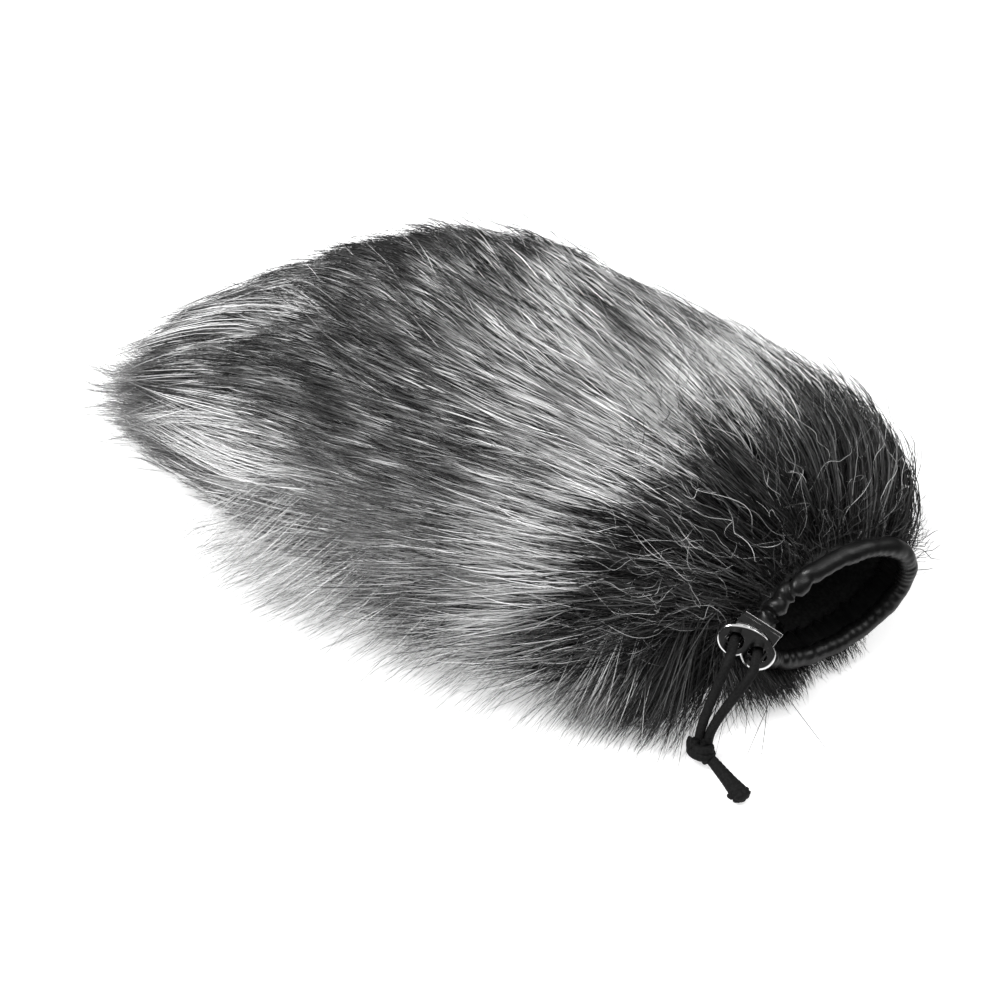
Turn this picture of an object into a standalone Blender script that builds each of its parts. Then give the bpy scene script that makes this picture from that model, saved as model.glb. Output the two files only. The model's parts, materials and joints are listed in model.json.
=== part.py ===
"""Furry windscreen: a limp long-pile bag with a gathered mouth, a drawcord and a cord lock.

Units are metres. +X runs along the bag towards its mouth, +Z is up, and the bag rests on z = 0.
The bag's spine leaves the mouth straight, turns towards -X and runs on to the closed end.
Distances along the spine are measured from the mouth and grow towards the closed end.
"""

from math import asin, cos, pi, radians, sin, sqrt

import bmesh
import bpy
import numpy as np
from mathutils import Matrix, Vector

# Spine of the bag
MOUTH_TURN = radians(36.0)      # the mouth looks this far aside from the bag's own axis
NECK_LENGTH = 0.010             # straight stretch behind the mouth
BEND_LENGTH = 0.050             # stretch over which the bag turns straight
BEND_END_X = 0.075              # where the straight part of the bag begins
MOUTH_HEIGHT = 0.029
BODY_HEIGHT = 0.041             # height of the seam along the straight part

# Hem binding round the mouth: an oval tube with two flanges that hold the backing's edge
HEM_HALF_WIDTH = 0.0285         # to the middle of the tube
HEM_HALF_HEIGHT = 0.0193
HEM_RADIUS = 0.0035
HEM_WALL = 0.0008
FLANGE_REACH = 0.0090
CORD_EXIT_HALF = 0.0065         # half the length of the slot where the cords leave

# Fabric and thread
BACKING_THICKNESS = 0.0012
BACKING_START = 0.0030
BACKING_END = 0.205             # spine distance of the closed end
DOME_START = 0.168              # where the closed end begins to round off
GAP = 0.0003                    # air left between pieces that touch on the real object
SEAM_GAP = 0.0013
SEAM_THREAD_RADIUS = 0.00035
HEM_THREAD_RADIUS = 0.0003
HEM_THREAD_START = radians(206.0)   # the hem's stitching stops short of the cord exit
HEM_THREAD_SWEEP = radians(308.0)
PILE_START = 0.0042
PILE_NECK = 0.0033              # room between the backing and the pile at the binding
PILE_EXPONENT = 2.5             # superellipse exponent of the pile's cross-section
PILE_LIFT = 0.004               # height of the underside at the mouth, gone 30 mm further in
PILE_LIFT_LENGTH = 0.030
PILE_SAG = 0.0035               # how far the section is pressed flat by the table

# Spine distance, half width and top height of the pile's outer envelope
PILE_SHAPE = (
    (0.000, 0.040, 0.056), (0.014, 0.052, 0.067), (0.040, 0.063, 0.080),
    (0.080, 0.073, 0.088), (0.120, 0.077, 0.092), (0.160, 0.073, 0.091),
    (0.200, 0.061, 0.079), (0.235, 0.043, 0.058), (0.262, 0.024, 0.039),
    (0.273, 0.015, 0.029),
)
# Spine distance, half width, half height and middle height of the backing
BACKING_SHAPE = (
    (0.000, HEM_HALF_WIDTH, HEM_HALF_HEIGHT, MOUTH_HEIGHT),
    (0.012, HEM_HALF_WIDTH, HEM_HALF_HEIGHT, MOUTH_HEIGHT),
    (0.040, 0.036, 0.022, 0.034), (0.080, 0.043, 0.026, BODY_HEIGHT),
    (0.130, 0.045, 0.027, BODY_HEIGHT), (0.170, 0.043, 0.025, BODY_HEIGHT),
    (0.205, 0.038, 0.022, BODY_HEIGHT),
)
STATIONS = (0.0, 0.012, 0.022, 0.032, 0.042, 0.052, 0.062, 0.082, 0.102, 0.124, 0.146,
            0.168, 0.182, 0.193, 0.200, 0.205, 0.222, 0.238, 0.251, 0.262, 0.273)
SEAM_STATIONS = tuple((a + b) / 2.0 for a, b in zip(STATIONS, STATIONS[1:]))

# Cord and knot
CORD_RADIUS = 0.0015
CORD_ENTRY = radians(19.0)      # where the cord joins the hem, to each side of the exit
CORD_BEND_PULL = 0.012
TAIL_PULL = 0.030
KNOT_CENTRE = Vector((0.1060, -0.0721, 0.0052))
KNOT_SIZE = Vector((0.0046, 0.0042, 0.0040))
KNOT_TOP = Vector((0.0, 0.0026, 0.0047))    # where the tails enter, from the knot's centre
KNOT_SPREAD = 0.0018
TAIL_END = Vector((0.1215, -0.0815, 0.0032))
# Distance from the knot's centre and radius along the fused end
FLARE = ((0.0052, 0.0019), (0.0090, 0.0018), (0.0140, 0.0022), (0.0178, 0.0026),
         (0.0192, 0.0023), (0.0198, 0.0014))
BEAD_RADIUS = 0.0011
BEAD_ALONG = 0.0172
BEAD_BESIDE = 0.0041
BEAD_DROP = 0.0005

# Cord lock, in its own axes: across the two holes, up to the press plate, out of the front
LOCK_ACROSS = Vector((0.909, 0.012, -0.416)).normalized()
LOCK_OUT = Vector((0.162, -0.931, 0.326))
LOCK_ASIDE = -0.0036            # the lock's middle from the end of the hem's oval
LOCK_RISE = 0.0004
HOLE_OFFSET = 0.0040            # each hole's distance from the middle
HOLE_RADIUS = 0.00295
LOBE_RADIUS = 0.0054
BODY_TOP = 0.0066
BODY_SHOULDER = radians(38.0)   # where each lobe's arc ends and the arched top begins
LOCK_BACK = 0.0055              # distance from the hem's middle to the lock's back
LOCK_THICKNESS = 0.0060
CORD_FRONT = 0.0193             # distance from the hem's middle to where the tails swing
LOCK_CHAMFER = 0.0006
POCKET_HALF_WIDTH = 0.0069
POCKET_THICKNESS = 0.0036
POCKET_FLOOR = -0.0042
BRIDGE_HALF_WIDTH = 0.00095
BRIDGE_BOTTOM = -0.0013
FRAME_HALF_WIDTH = 0.0066       # the plunger is a frame round both cords
FRAME_LEG = 0.0008
FRAME_BOTTOM = -0.0025
WINDOW_BOTTOM = -0.0018
WINDOW_TOP = 0.0046
PLATE_BOTTOM = 0.0090
PLATE_THICKNESS = 0.0012
PLATE_HALF_WIDTH = 0.0064
PLATE_DEPTH = 0.0066
SPRING_RADIUS = 0.0009
SPRING_WIRE = 0.0002
SPRING_TURNS = 4.5

# Room that the pile leaves round the lock (in the lock's axes) and round the knot
LOCK_ROOM = ((-0.0115, -0.0085, -0.0030), (0.0115, 0.0125, 0.0600))
KNOT_ROOM = ((0.0965, -0.1000, -0.0100), (0.1320, -0.0600, 0.0500))


# ---------------------------------------------------------------- scene and materials

def clear_scene():
    """Remove every object, mesh and material that the file starts with."""
    for obj in list(bpy.data.objects):
        bpy.data.objects.remove(obj, do_unlink=True)
    for mesh in list(bpy.data.meshes):
        bpy.data.meshes.remove(mesh)


def material(name, color, roughness, metallic=0.0):
    """A Principled material of one colour."""
    found = bpy.data.materials.get(name)
    if found:
        return found
    made = bpy.data.materials.new(name)
    made.use_nodes = True
    shader = made.node_tree.nodes["Principled BSDF"]
    shader.inputs["Base Color"].default_value = (*color, 1.0)
    shader.inputs["Roughness"].default_value = roughness
    shader.inputs["Metallic"].default_value = metallic
    made.diffuse_color = (*color, 1.0)
    return made


def pile_material():
    return material("fur_pile", (0.24, 0.24, 0.24), 0.7)


def knit_material():
    return material("knit_backing", (0.03, 0.03, 0.032), 0.9)


def leather_material():
    return material("leatherette", (0.018, 0.018, 0.02), 0.35)


def cord_material():
    return material("elastic_cord", (0.02, 0.02, 0.022), 0.8)


def thread_material():
    return material("black_thread", (0.025, 0.025, 0.027), 0.7)


def chrome_material():
    return material("chrome", (0.82, 0.82, 0.83), 0.08, 1.0)


def spring_material():
    return material("spring_steel", (0.5, 0.5, 0.52), 0.25, 1.0)


# ---------------------------------------------------------------- mesh helpers

def new_object(name, mesh, look, frame=None, parent=None, sharp=radians(35.0)):
    """Link a mesh as a named object, placed in a frame and under a parent."""
    mesh.materials.clear()
    mesh.materials.append(look)
    mesh.shade_smooth()
    mesh.set_sharp_from_angle(angle=sharp)
    obj = bpy.data.objects.new(name, mesh)
    bpy.context.scene.collection.objects.link(obj)
    obj.matrix_world = frame or Matrix.Identity(4)
    if parent:
        obj.parent = parent
        obj.matrix_parent_inverse = parent.matrix_world.inverted()
    return obj


def mesh_from(points, faces):
    """A mesh whose faces all point outwards."""
    mesh = bpy.data.meshes.new("mesh")
    mesh.from_pydata([tuple(p) for p in points], [], faces)
    work = bmesh.new()
    work.from_mesh(mesh)
    bmesh.ops.triangulate(work, faces=work.faces)
    bmesh.ops.recalc_face_normals(work, faces=work.faces)
    work.to_mesh(mesh)
    work.free()
    return mesh


def loft(rings, closed=False):
    """Bridge equal rings of points; an open loft gets a cap at each end."""
    count = len(rings[0])
    points = [p for ring in rings for p in ring]
    faces = []
    spans = len(rings) if closed else len(rings) - 1
    for i in range(spans):
        here = i * count
        there = (i + 1) % len(rings) * count
        for k in range(count):
            after = (k + 1) % count
            faces.append((here + k, here + after, there + after, there + k))
    if not closed:
        faces.append(tuple(range(count)))
        faces.append(tuple(range(len(points) - count, len(points))))
    return mesh_from(points, faces)


def box(low, high):
    """A block between two corners."""
    x0, y0, z0 = low
    x1, y1, z1 = high
    bottom = [(x0, y0, z0), (x1, y0, z0), (x1, y1, z0), (x0, y1, z0)]
    top = [(x, y, z1) for x, y, _ in bottom]
    return loft([bottom, top])


def tube(points, radii, sides, closed=False):
    """Sweep a round section along points, without twist."""
    path = [Vector(p) for p in points]
    count = len(path)
    if not isinstance(radii, (list, tuple)):
        radii = [radii] * count
    tangents = []
    for i in range(count):
        before = path[(i - 1) % count] if closed or i > 0 else path[i]
        after = path[(i + 1) % count] if closed or i < count - 1 else path[i]
        tangents.append((after - before).normalized())
    side = tangents[0].orthogonal().normalized()
    rings = []
    for point, tangent, radius in zip(path, tangents, radii):
        side = (side - side.dot(tangent) * tangent).normalized()
        up = tangent.cross(side)
        turns = [2.0 * pi * k / sides for k in range(sides)]
        rings.append([point + radius * (cos(a) * side + sin(a) * up) for a in turns])
    return loft(rings, closed)


def cutter(name, mesh, frame=None):
    """A guide shape for a Boolean, shown as wire and left out of the part."""
    obj = bpy.data.objects.new(name, mesh)
    bpy.context.scene.collection.objects.link(obj)
    obj.matrix_world = frame or Matrix.Identity(4)
    obj.hide_render = True
    obj.display_type = "WIRE"
    return obj


def boolean(obj, tool, operation="DIFFERENCE"):
    """Cut, join or keep what is shared with another shape."""
    step = obj.modifiers.new(operation.lower(), "BOOLEAN")
    step.operation = operation
    step.solver = "EXACT"
    step.object = tool


# ---------------------------------------------------------------- shape of the bag

def shape_at(table, distance):
    """Values of a shape table at one spine distance, blended smoothly between its rows."""
    rows = np.array(table)
    keys = rows[:, 0]
    slopes = np.gradient(rows[:, 1:], keys, axis=0)
    i = int(np.clip(np.searchsorted(keys, distance) - 1, 0, len(keys) - 2))
    span = keys[i + 1] - keys[i]
    t = np.clip((distance - keys[i]) / span, 0.0, 1.0)
    start, end = rows[i, 1:], rows[i + 1, 1:]
    ease = t * t * (3.0 - 2.0 * t)
    swing = span * (t * (1.0 - t) ** 2 * slopes[i] - t * t * (1.0 - t) * slopes[i + 1])
    return start + ease * (end - start) + swing


def spine(distance):
    """Point on the spine (z = 0) and the heading's angle, at one distance from the mouth."""
    radius = BEND_LENGTH / MOUTH_TURN
    into_bend = np.clip(distance - NECK_LENGTH, 0.0, BEND_LENGTH)
    angle = MOUTH_TURN * (1.0 - into_bend / BEND_LENGTH)
    x = BEND_END_X + radius * sin(angle)
    y = -radius * (1.0 - cos(angle))
    ahead = NECK_LENGTH - distance if distance < NECK_LENGTH else 0.0
    behind = max(0.0, distance - NECK_LENGTH - BEND_LENGTH)
    x += ahead * cos(angle) - behind
    y -= ahead * sin(angle)
    return Vector((x, y, 0.0)), angle


def place_ring(distance, flat_points):
    """Put (sideways, height) points on the plane across the spine."""
    point, angle = spine(distance)
    side = Vector((sin(angle), cos(angle), 0.0))
    return [point + side * float(y) + Vector((0.0, 0.0, float(z))) for y, z in flat_points]


def superellipse(half_width, half_height, exponent, count):
    """Closed outline around (0, 0), starting on the +Y side."""
    turns = np.linspace(0.0, 2.0 * pi, count, endpoint=False)
    c, s = np.cos(turns), np.sin(turns)
    y = half_width * np.sign(c) * np.abs(c) ** (2.0 / exponent)
    z = half_height * np.sign(s) * np.abs(s) ** (2.0 / exponent)
    return np.stack([y, z], axis=1)


def grown(outline, amount):
    """Move a closed outline outwards along its own normals."""
    along = np.roll(outline, -1, axis=0) - np.roll(outline, 1, axis=0)
    normals = np.stack([along[:, 1], -along[:, 0]], axis=1)
    normals /= np.linalg.norm(normals, axis=1, keepdims=True)
    return outline + amount * normals


def backing_outline(distance, growth, count=28):
    """Cross-section of the backing's middle surface, grown by an amount."""
    half_width, half_height, middle = shape_at(BACKING_SHAPE, distance)
    if distance > DOME_START:
        share = (distance - DOME_START) / (BACKING_END - DOME_START)
        rounding = max(0.25, sqrt(max(0.0, 1.0 - share ** 2.6)))
        half_width *= rounding
        half_height *= rounding
    blend = min(1.0, max(0.0, (distance - 0.012) / 0.04))
    outline = superellipse(half_width, half_height, 2.0 + 0.4 * blend, count)
    return grown(outline, growth) + np.array([0.0, middle])


def backing_solid(growth, start, neck_growth=None):
    """Solid bounded by the backing's surface, grown by an amount, from a start distance."""
    rings = []
    for distance in [start] + [s for s in STATIONS if start < s <= BACKING_END]:
        amount = growth
        if neck_growth is not None and distance < NECK_LENGTH + 0.003:
            amount = neck_growth
        rings.append(place_ring(distance, backing_outline(distance, amount)))
    if growth > 0.0:
        rings.append(place_ring(BACKING_END + growth, backing_outline(BACKING_END, 0.0)))
    return loft(rings)


def pile_outline(distance, count=32):
    """Cross-section of the pile's outer envelope, flat where the bag rests."""
    half_width, top = shape_at(PILE_SHAPE, distance)
    lift = PILE_LIFT * max(0.0, 1.0 - distance / PILE_LIFT_LENGTH)
    low = lift - PILE_SAG
    outline = superellipse(half_width, (top - low) / 2.0, PILE_EXPONENT, count)
    outline[:, 1] += (top + low) / 2.0
    outline[:, 1] = np.maximum(outline[:, 1], lift)
    return outline


def pile_solid():
    """Solid filled by the whole pile, before the bag's inside is taken out."""
    distances = [PILE_START] + [s for s in STATIONS if s > PILE_START]
    return loft([place_ring(s, pile_outline(s)) for s in distances])


def half_space(sign):
    """Wide block above (+1) or below (-1) the seam, which follows the backing's sides."""
    rings = []
    for distance in (-0.030,) + SEAM_STATIONS + (0.290,):
        reach = 0.074 if distance < NECK_LENGTH + BEND_LENGTH else 0.110
        middle = float(shape_at(BACKING_SHAPE, distance)[2])
        near = middle + sign * SEAM_GAP / 2.0
        far = 0.200 if sign > 0 else -0.050
        across = [(reach * (k / 8.0 - 1.0), near) for k in range(17)]
        rings.append(place_ring(distance, across + [(reach, far), (-reach, far)]))
    return loft(rings)


# ---------------------------------------------------------------- shape of the mouth and lock

def mouth_frame():
    """Axes of the mouth: x out of the opening, y across it, z up."""
    point, angle = spine(0.0)
    turn = Matrix.Rotation(-angle, 4, "Z")
    return Matrix.Translation(point + Vector((0.0, 0.0, MOUTH_HEIGHT))) @ turn


def hem_point(turn, outwards=0.0, forwards=0.0):
    """Point by the hem's oval, in the mouth's axes, offset outwards and forwards."""
    y, z = HEM_HALF_WIDTH * cos(turn), HEM_HALF_HEIGHT * sin(turn)
    normal = Vector((0.0, HEM_HALF_HEIGHT * cos(turn), HEM_HALF_WIDTH * sin(turn))).normalized()
    return Vector((forwards, y, z)) + outwards * normal


def lock_frame():
    """Axes of the cord lock: x across the holes, y up to the plate, z out of the front."""
    across = LOCK_ACROSS
    out = (LOCK_OUT - LOCK_OUT.dot(across) * across).normalized()
    up = out.cross(across)
    turn = Matrix((across, up, out)).transposed().to_4x4()
    hem_end = mouth_frame() @ hem_point(pi)
    return Matrix.Translation(hem_end + LOCK_ASIDE * across + LOCK_RISE * up) @ turn


def binding_profile():
    """Outline of the folded binding: (outwards, forwards) round the tube and its flanges."""
    inner, outer = HEM_RADIUS - HEM_WALL, HEM_RADIUS
    slot = BACKING_THICKNESS / 2.0 + GAP
    skin = slot + HEM_WALL
    outline = []
    first = pi - asin(slot / inner)
    for k in range(9):
        angle = first - k / 8.0 * 2.0 * first
        outline.append((inner * sin(angle), inner * cos(angle)))
    outline.append((-slot, -FLANGE_REACH))
    outline.append((-skin, -FLANGE_REACH))
    last = pi - asin(skin / outer)
    for k in range(11):
        angle = -last + k / 10.0 * 2.0 * last
        outline.append((outer * sin(angle), outer * cos(angle)))
    outline.append((skin, -FLANGE_REACH))
    outline.append((slot, -FLANGE_REACH))
    return outline


def exit_notch():
    """Block that opens the binding and the backing where the cords leave."""
    low = (-0.0080, -HEM_HALF_WIDTH - 0.016, -CORD_EXIT_HALF)
    high = (0.0080, -HEM_HALF_WIDTH + 0.008, CORD_EXIT_HALF)
    return cutter("exit_notch", box(low, high), mouth_frame())


# ---------------------------------------------------------------- soft goods

def build_bag(root, notch):
    """Backing panels and pile panels, each split along the seam."""
    upper = cutter("upper_half", half_space(1))
    lower = cutter("lower_half", half_space(-1))
    inside = cutter("backing_inside", backing_solid(-BACKING_THICKNESS / 2.0, -0.010))
    hollow = cutter("pile_inside",
                    backing_solid(BACKING_THICKNESS / 2.0 + GAP, -0.010, PILE_NECK))
    lock_room = cutter("lock_room", box(*LOCK_ROOM), lock_frame())
    knot_room = cutter("knot_room", box(*KNOT_ROOM))
    for name, half in (("backing_upper", upper), ("backing_lower", lower)):
        shell = new_object(name, backing_solid(BACKING_THICKNESS / 2.0, BACKING_START),
                           knit_material(), parent=root)
        boolean(shell, inside)
        boolean(shell, half, "INTERSECT")
        boolean(shell, notch)
    for name, half in (("pile_upper", upper), ("pile_lower", lower)):
        fur = new_object(name, pile_solid(), pile_material(), parent=root)
        boolean(fur, hollow)
        boolean(fur, half, "INTERSECT")
        boolean(fur, lock_room)
        boolean(fur, knot_room)


def build_seam(root):
    """Thread that joins the two panels, from the neck round the closed end and back."""
    distances = [s for s in SEAM_STATIONS if 0.011 < s < BACKING_END]
    sides = {1: [], -1: []}
    for distance in distances:
        outline = backing_outline(distance, 0.0)
        half_width = float(outline[:, 0].max())
        middle = float(shape_at(BACKING_SHAPE, distance)[2])
        for sign, points in sides.items():
            points += place_ring(distance, [(sign * half_width, middle)])
    path = sides[-1] + list(reversed(sides[1]))
    new_object("seam_thread", tube(path, SEAM_THREAD_RADIUS, 6), thread_material(), parent=root)


def build_hem(root, notch):
    """Folded binding round the mouth, and the thread that holds it to the backing."""
    turns = [2.0 * pi * k / 44 for k in range(44)]
    profile = binding_profile()
    rings = [[hem_point(a, outwards, forwards) for outwards, forwards in profile] for a in turns]
    binding = new_object("hem_binding", loft(rings, closed=True), leather_material(),
                         mouth_frame(), root)
    boolean(binding, notch)
    lift = BACKING_THICKNESS / 2.0 + 2.0 * GAP + HEM_WALL + HEM_THREAD_RADIUS
    turns = [HEM_THREAD_START + HEM_THREAD_SWEEP * k / 40.0 for k in range(41)]
    path = [hem_point(a, lift, -0.0060) for a in turns]
    new_object("hem_stitch", tube(path, HEM_THREAD_RADIUS, 6), thread_material(),
               mouth_frame(), root)


def hermite(start, start_pull, end, end_pull, count):
    """Points along a cubic that leaves start and reaches end along the given pulls."""
    points = []
    for k in range(count + 1):
        t = k / count
        keep = 2 * t ** 3 - 3 * t ** 2 + 1
        points.append(keep * start + (1 - keep) * end + (t ** 3 - 2 * t ** 2 + t) * start_pull
                      + (t ** 3 - t ** 2) * end_pull)
    return points


def build_elastic(root):
    """Drawcord: in through the lock, once round the hem's channel and out through the lock."""
    lock, mouth = lock_frame(), mouth_frame()
    inwards = -(lock.to_3x3() @ Vector((0.0, 0.0, 1.0)))
    stub_end = CORD_FRONT - CORD_RADIUS - GAP
    enter, leave = pi - CORD_ENTRY, CORD_ENTRY - pi
    halves = []
    for sign, turn in ((-1, enter), (1, leave)):
        tip = lock @ Vector((sign * HOLE_OFFSET, 0.0, stub_end))
        back = lock @ Vector((sign * HOLE_OFFSET, 0.0, LOCK_BACK - 0.0004))
        hem = mouth @ hem_point(turn)
        along = (mouth @ hem_point(turn + sign * 0.02) - hem).normalized()
        halves.append([tip] + hermite(back, CORD_BEND_PULL * inwards, hem,
                                      CORD_BEND_PULL * along, 10))
    around = [mouth @ hem_point(enter + (leave - enter) * k / 36.0) for k in range(1, 36)]
    points = halves[0] + around + list(reversed(halves[1]))
    new_object("elastic_cord", tube(points, CORD_RADIUS, 8), cord_material(), parent=root)


def round_ended(start, direction, rest):
    """Points and radii of a cord whose first end is a ball round the start point."""
    points, radii = [], []
    for degrees in (80.0, 60.0, 40.0, 20.0):
        points.append(start - CORD_RADIUS * sin(radians(degrees)) * direction)
        radii.append(CORD_RADIUS * cos(radians(degrees)))
    return points + rest, radii + [CORD_RADIUS] * len(rest)


def ellipsoid(name, centre, size, columns, rows, parent):
    """Closed round lump of cord."""
    mesh = bpy.data.meshes.new(name)
    work = bmesh.new()
    bmesh.ops.create_uvsphere(work, u_segments=columns, v_segments=rows, radius=1.0)
    bmesh.ops.scale(work, vec=size, verts=work.verts)
    work.to_mesh(mesh)
    work.free()
    new_object(name, mesh, cord_material(), Matrix.Translation(centre), parent)


def build_tails(root):
    """The two cord tails, the knot that joins them and the fused end."""
    lock = lock_frame()
    swing = bpy.data.objects.new("cord_swing_axis", None)
    bpy.context.scene.collection.objects.link(swing)
    pivot = Matrix.Translation(lock @ Vector((0.0, 0.0, CORD_FRONT)))
    swing.matrix_world = pivot @ lock.to_3x3().to_4x4()
    swing.parent = root
    out = lock.to_3x3() @ Vector((0.0, 0.0, 1.0))
    down = Vector((0.0, 0.0, -1.0))
    for name, sign in (("cord_tail_left", -1), ("cord_tail_right", 1)):
        start = lock @ Vector((sign * HOLE_OFFSET, 0.0, CORD_FRONT))
        end = KNOT_CENTRE + KNOT_TOP + sign * Vector((KNOT_SPREAD, 0.0, 0.0))
        curve = hermite(start, TAIL_PULL * out, end, TAIL_PULL * down, 14)
        points, radii = round_ended(start, out, curve)
        new_object(name, tube(points, radii, 8), cord_material(), parent=swing)
    ellipsoid("cord_knot", KNOT_CENTRE, KNOT_SIZE, 16, 10, swing)
    along = (TAIL_END - KNOT_CENTRE).normalized()
    flare = [KNOT_CENTRE + along * reach for reach, _ in FLARE]
    new_object("cord_end", tube(flare, [radius for _, radius in FLARE], 10), cord_material(),
               parent=swing)
    beside = along.cross(Vector((0.0, 0.0, 1.0))).normalized()
    bead = KNOT_CENTRE + BEAD_ALONG * along + BEAD_BESIDE * beside - Vector((0.0, 0.0, BEAD_DROP))
    ellipsoid("melted_bead", bead, Vector((1.0, 1.0, 1.0)) * BEAD_RADIUS, 10, 6, swing)


# ---------------------------------------------------------------- cord lock

def lock_outline(inset):
    """Two round lobes under an arched top, drawn inwards by an inset."""
    lobe = LOBE_RADIUS - inset
    cleft = pi + float(np.arccos(HOLE_OFFSET / lobe))
    right = []
    for k in range(13):
        turn = (cleft - 2.0 * pi) + k / 12.0 * (BODY_SHOULDER - (cleft - 2.0 * pi))
        right.append((HOLE_OFFSET + lobe * cos(turn), lobe * sin(turn)))
    edge_x, edge_y = right[-1]
    rise = (BODY_TOP - inset) - edge_y
    arch = []
    for k in range(1, 8):
        x = edge_x * (1.0 - k / 4.0)
        arch.append((x, edge_y + rise * (1.0 - (x / edge_x) ** 2)))
    left = [(-x, y) for x, y in reversed(right)]
    return right + arch + left[:-1]


def build_lock(root):
    """Lock body with its pocket, bridge and holes, then the spring and the plunger."""
    frame = lock_frame()
    back, front = LOCK_BACK, LOCK_BACK + LOCK_THICKNESS
    middle = (back + front) / 2.0
    layers = ((back, LOCK_CHAMFER), (back + LOCK_CHAMFER, 0.0),
              (front - LOCK_CHAMFER, 0.0), (front, LOCK_CHAMFER))
    rings = [[(x, y, depth) for x, y in lock_outline(inset)] for depth, inset in layers]
    body = new_object("lock_body", loft(rings), chrome_material(), frame, root, radians(28.0))
    half = POCKET_THICKNESS / 2.0
    pocket = cutter("pocket", box((-POCKET_HALF_WIDTH, POCKET_FLOOR, middle - half),
                                  (POCKET_HALF_WIDTH, 0.0200, middle + half)), frame)
    bridge = cutter("bridge", box((-BRIDGE_HALF_WIDTH, BRIDGE_BOTTOM, middle - half - 0.0006),
                                  (BRIDGE_HALF_WIDTH, 0.0, middle + half + 0.0006)), frame)
    boolean(body, pocket)
    boolean(body, bridge, "UNION")
    for sign in (-1, 1):
        line = [(sign * HOLE_OFFSET, 0.0, back - 0.002), (sign * HOLE_OFFSET, 0.0, front + 0.002)]
        boolean(body, cutter("hole", tube(line, HOLE_RADIUS, 28), frame))
    build_spring(frame, body, middle)
    build_plunger(frame, body, middle)


def build_spring(frame, body, middle):
    """Coil spring between the bridge and the top of the plunger's window."""
    low, high = GAP + SPRING_WIRE, WINDOW_TOP - GAP - SPRING_WIRE
    steps = int(SPRING_TURNS * 12)
    coil = []
    for k in range(steps + 1):
        turn = 2.0 * pi * SPRING_TURNS * k / steps
        coil.append((SPRING_RADIUS * cos(turn), low + (high - low) * k / steps,
                     middle + SPRING_RADIUS * sin(turn)))
    new_object("lock_spring", tube(coil, SPRING_WIRE, 5), spring_material(), frame, body)


def build_plunger(frame, body, middle):
    """Frame round both cords, with the press plate on top."""
    half = POCKET_THICKNESS / 2.0 - GAP
    bottom, side = FRAME_BOTTOM, FRAME_HALF_WIDTH
    outline = [(-side, bottom), (side, bottom), (side, PLATE_BOTTOM + 0.0005),
               (-side, PLATE_BOTTOM + 0.0005)]
    slab = loft([[(x, y, middle + z) for x, y in outline] for z in (-half, half)])
    plunger = new_object("lock_plunger", slab, chrome_material(), frame, body, radians(28.0))
    inner = FRAME_HALF_WIDTH - FRAME_LEG
    window = cutter("window", box((-inner, WINDOW_BOTTOM, middle - 0.004),
                                  (inner, WINDOW_TOP, middle + 0.004)), frame)
    plate = cutter("plate", box((-PLATE_HALF_WIDTH, PLATE_BOTTOM, middle - PLATE_DEPTH / 2.0),
                                (PLATE_HALF_WIDTH, PLATE_BOTTOM + PLATE_THICKNESS,
                                 middle + PLATE_DEPTH / 2.0)), frame)
    boolean(plunger, window)
    boolean(plunger, plate, "UNION")


def build():
    """Make the whole windscreen under one root empty."""
    clear_scene()
    root = bpy.data.objects.new("windscreen", None)
    bpy.context.scene.collection.objects.link(root)
    notch = exit_notch()
    build_bag(root, notch)
    build_seam(root)
    build_hem(root, notch)
    build_elastic(root)
    build_tails(root)
    build_lock(root)


build()
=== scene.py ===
import json
from math import cos, pi, radians, sin

import bmesh
import bpy
import numpy as np
from mathutils import Matrix, Vector


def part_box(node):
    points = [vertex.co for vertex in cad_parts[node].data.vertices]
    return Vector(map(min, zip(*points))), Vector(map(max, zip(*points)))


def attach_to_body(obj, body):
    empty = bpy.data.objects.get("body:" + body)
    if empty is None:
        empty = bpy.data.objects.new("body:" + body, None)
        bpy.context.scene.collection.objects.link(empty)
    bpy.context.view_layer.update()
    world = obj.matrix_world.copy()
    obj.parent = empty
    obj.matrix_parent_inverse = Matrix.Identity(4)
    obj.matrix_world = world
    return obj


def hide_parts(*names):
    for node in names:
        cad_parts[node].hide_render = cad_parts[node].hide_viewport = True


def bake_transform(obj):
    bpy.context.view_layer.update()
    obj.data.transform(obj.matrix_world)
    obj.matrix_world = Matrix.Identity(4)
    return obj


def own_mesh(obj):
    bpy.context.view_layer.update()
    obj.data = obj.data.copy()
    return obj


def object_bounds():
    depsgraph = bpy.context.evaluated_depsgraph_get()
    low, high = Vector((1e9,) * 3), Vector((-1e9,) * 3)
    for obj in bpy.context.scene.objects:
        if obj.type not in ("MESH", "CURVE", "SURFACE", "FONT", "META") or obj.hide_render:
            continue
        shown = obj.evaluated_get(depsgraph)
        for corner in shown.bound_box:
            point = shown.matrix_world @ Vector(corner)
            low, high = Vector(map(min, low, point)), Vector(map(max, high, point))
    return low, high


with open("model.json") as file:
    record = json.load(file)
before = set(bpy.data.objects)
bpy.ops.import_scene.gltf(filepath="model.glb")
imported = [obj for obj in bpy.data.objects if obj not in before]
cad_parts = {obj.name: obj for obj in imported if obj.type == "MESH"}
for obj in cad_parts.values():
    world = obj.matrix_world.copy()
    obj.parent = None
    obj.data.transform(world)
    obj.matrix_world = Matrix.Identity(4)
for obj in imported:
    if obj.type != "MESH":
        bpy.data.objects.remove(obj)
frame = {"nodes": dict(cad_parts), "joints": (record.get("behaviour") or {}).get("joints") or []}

CAD_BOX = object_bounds()
MM = 0.001
RNG = np.random.default_rng(20)

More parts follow.
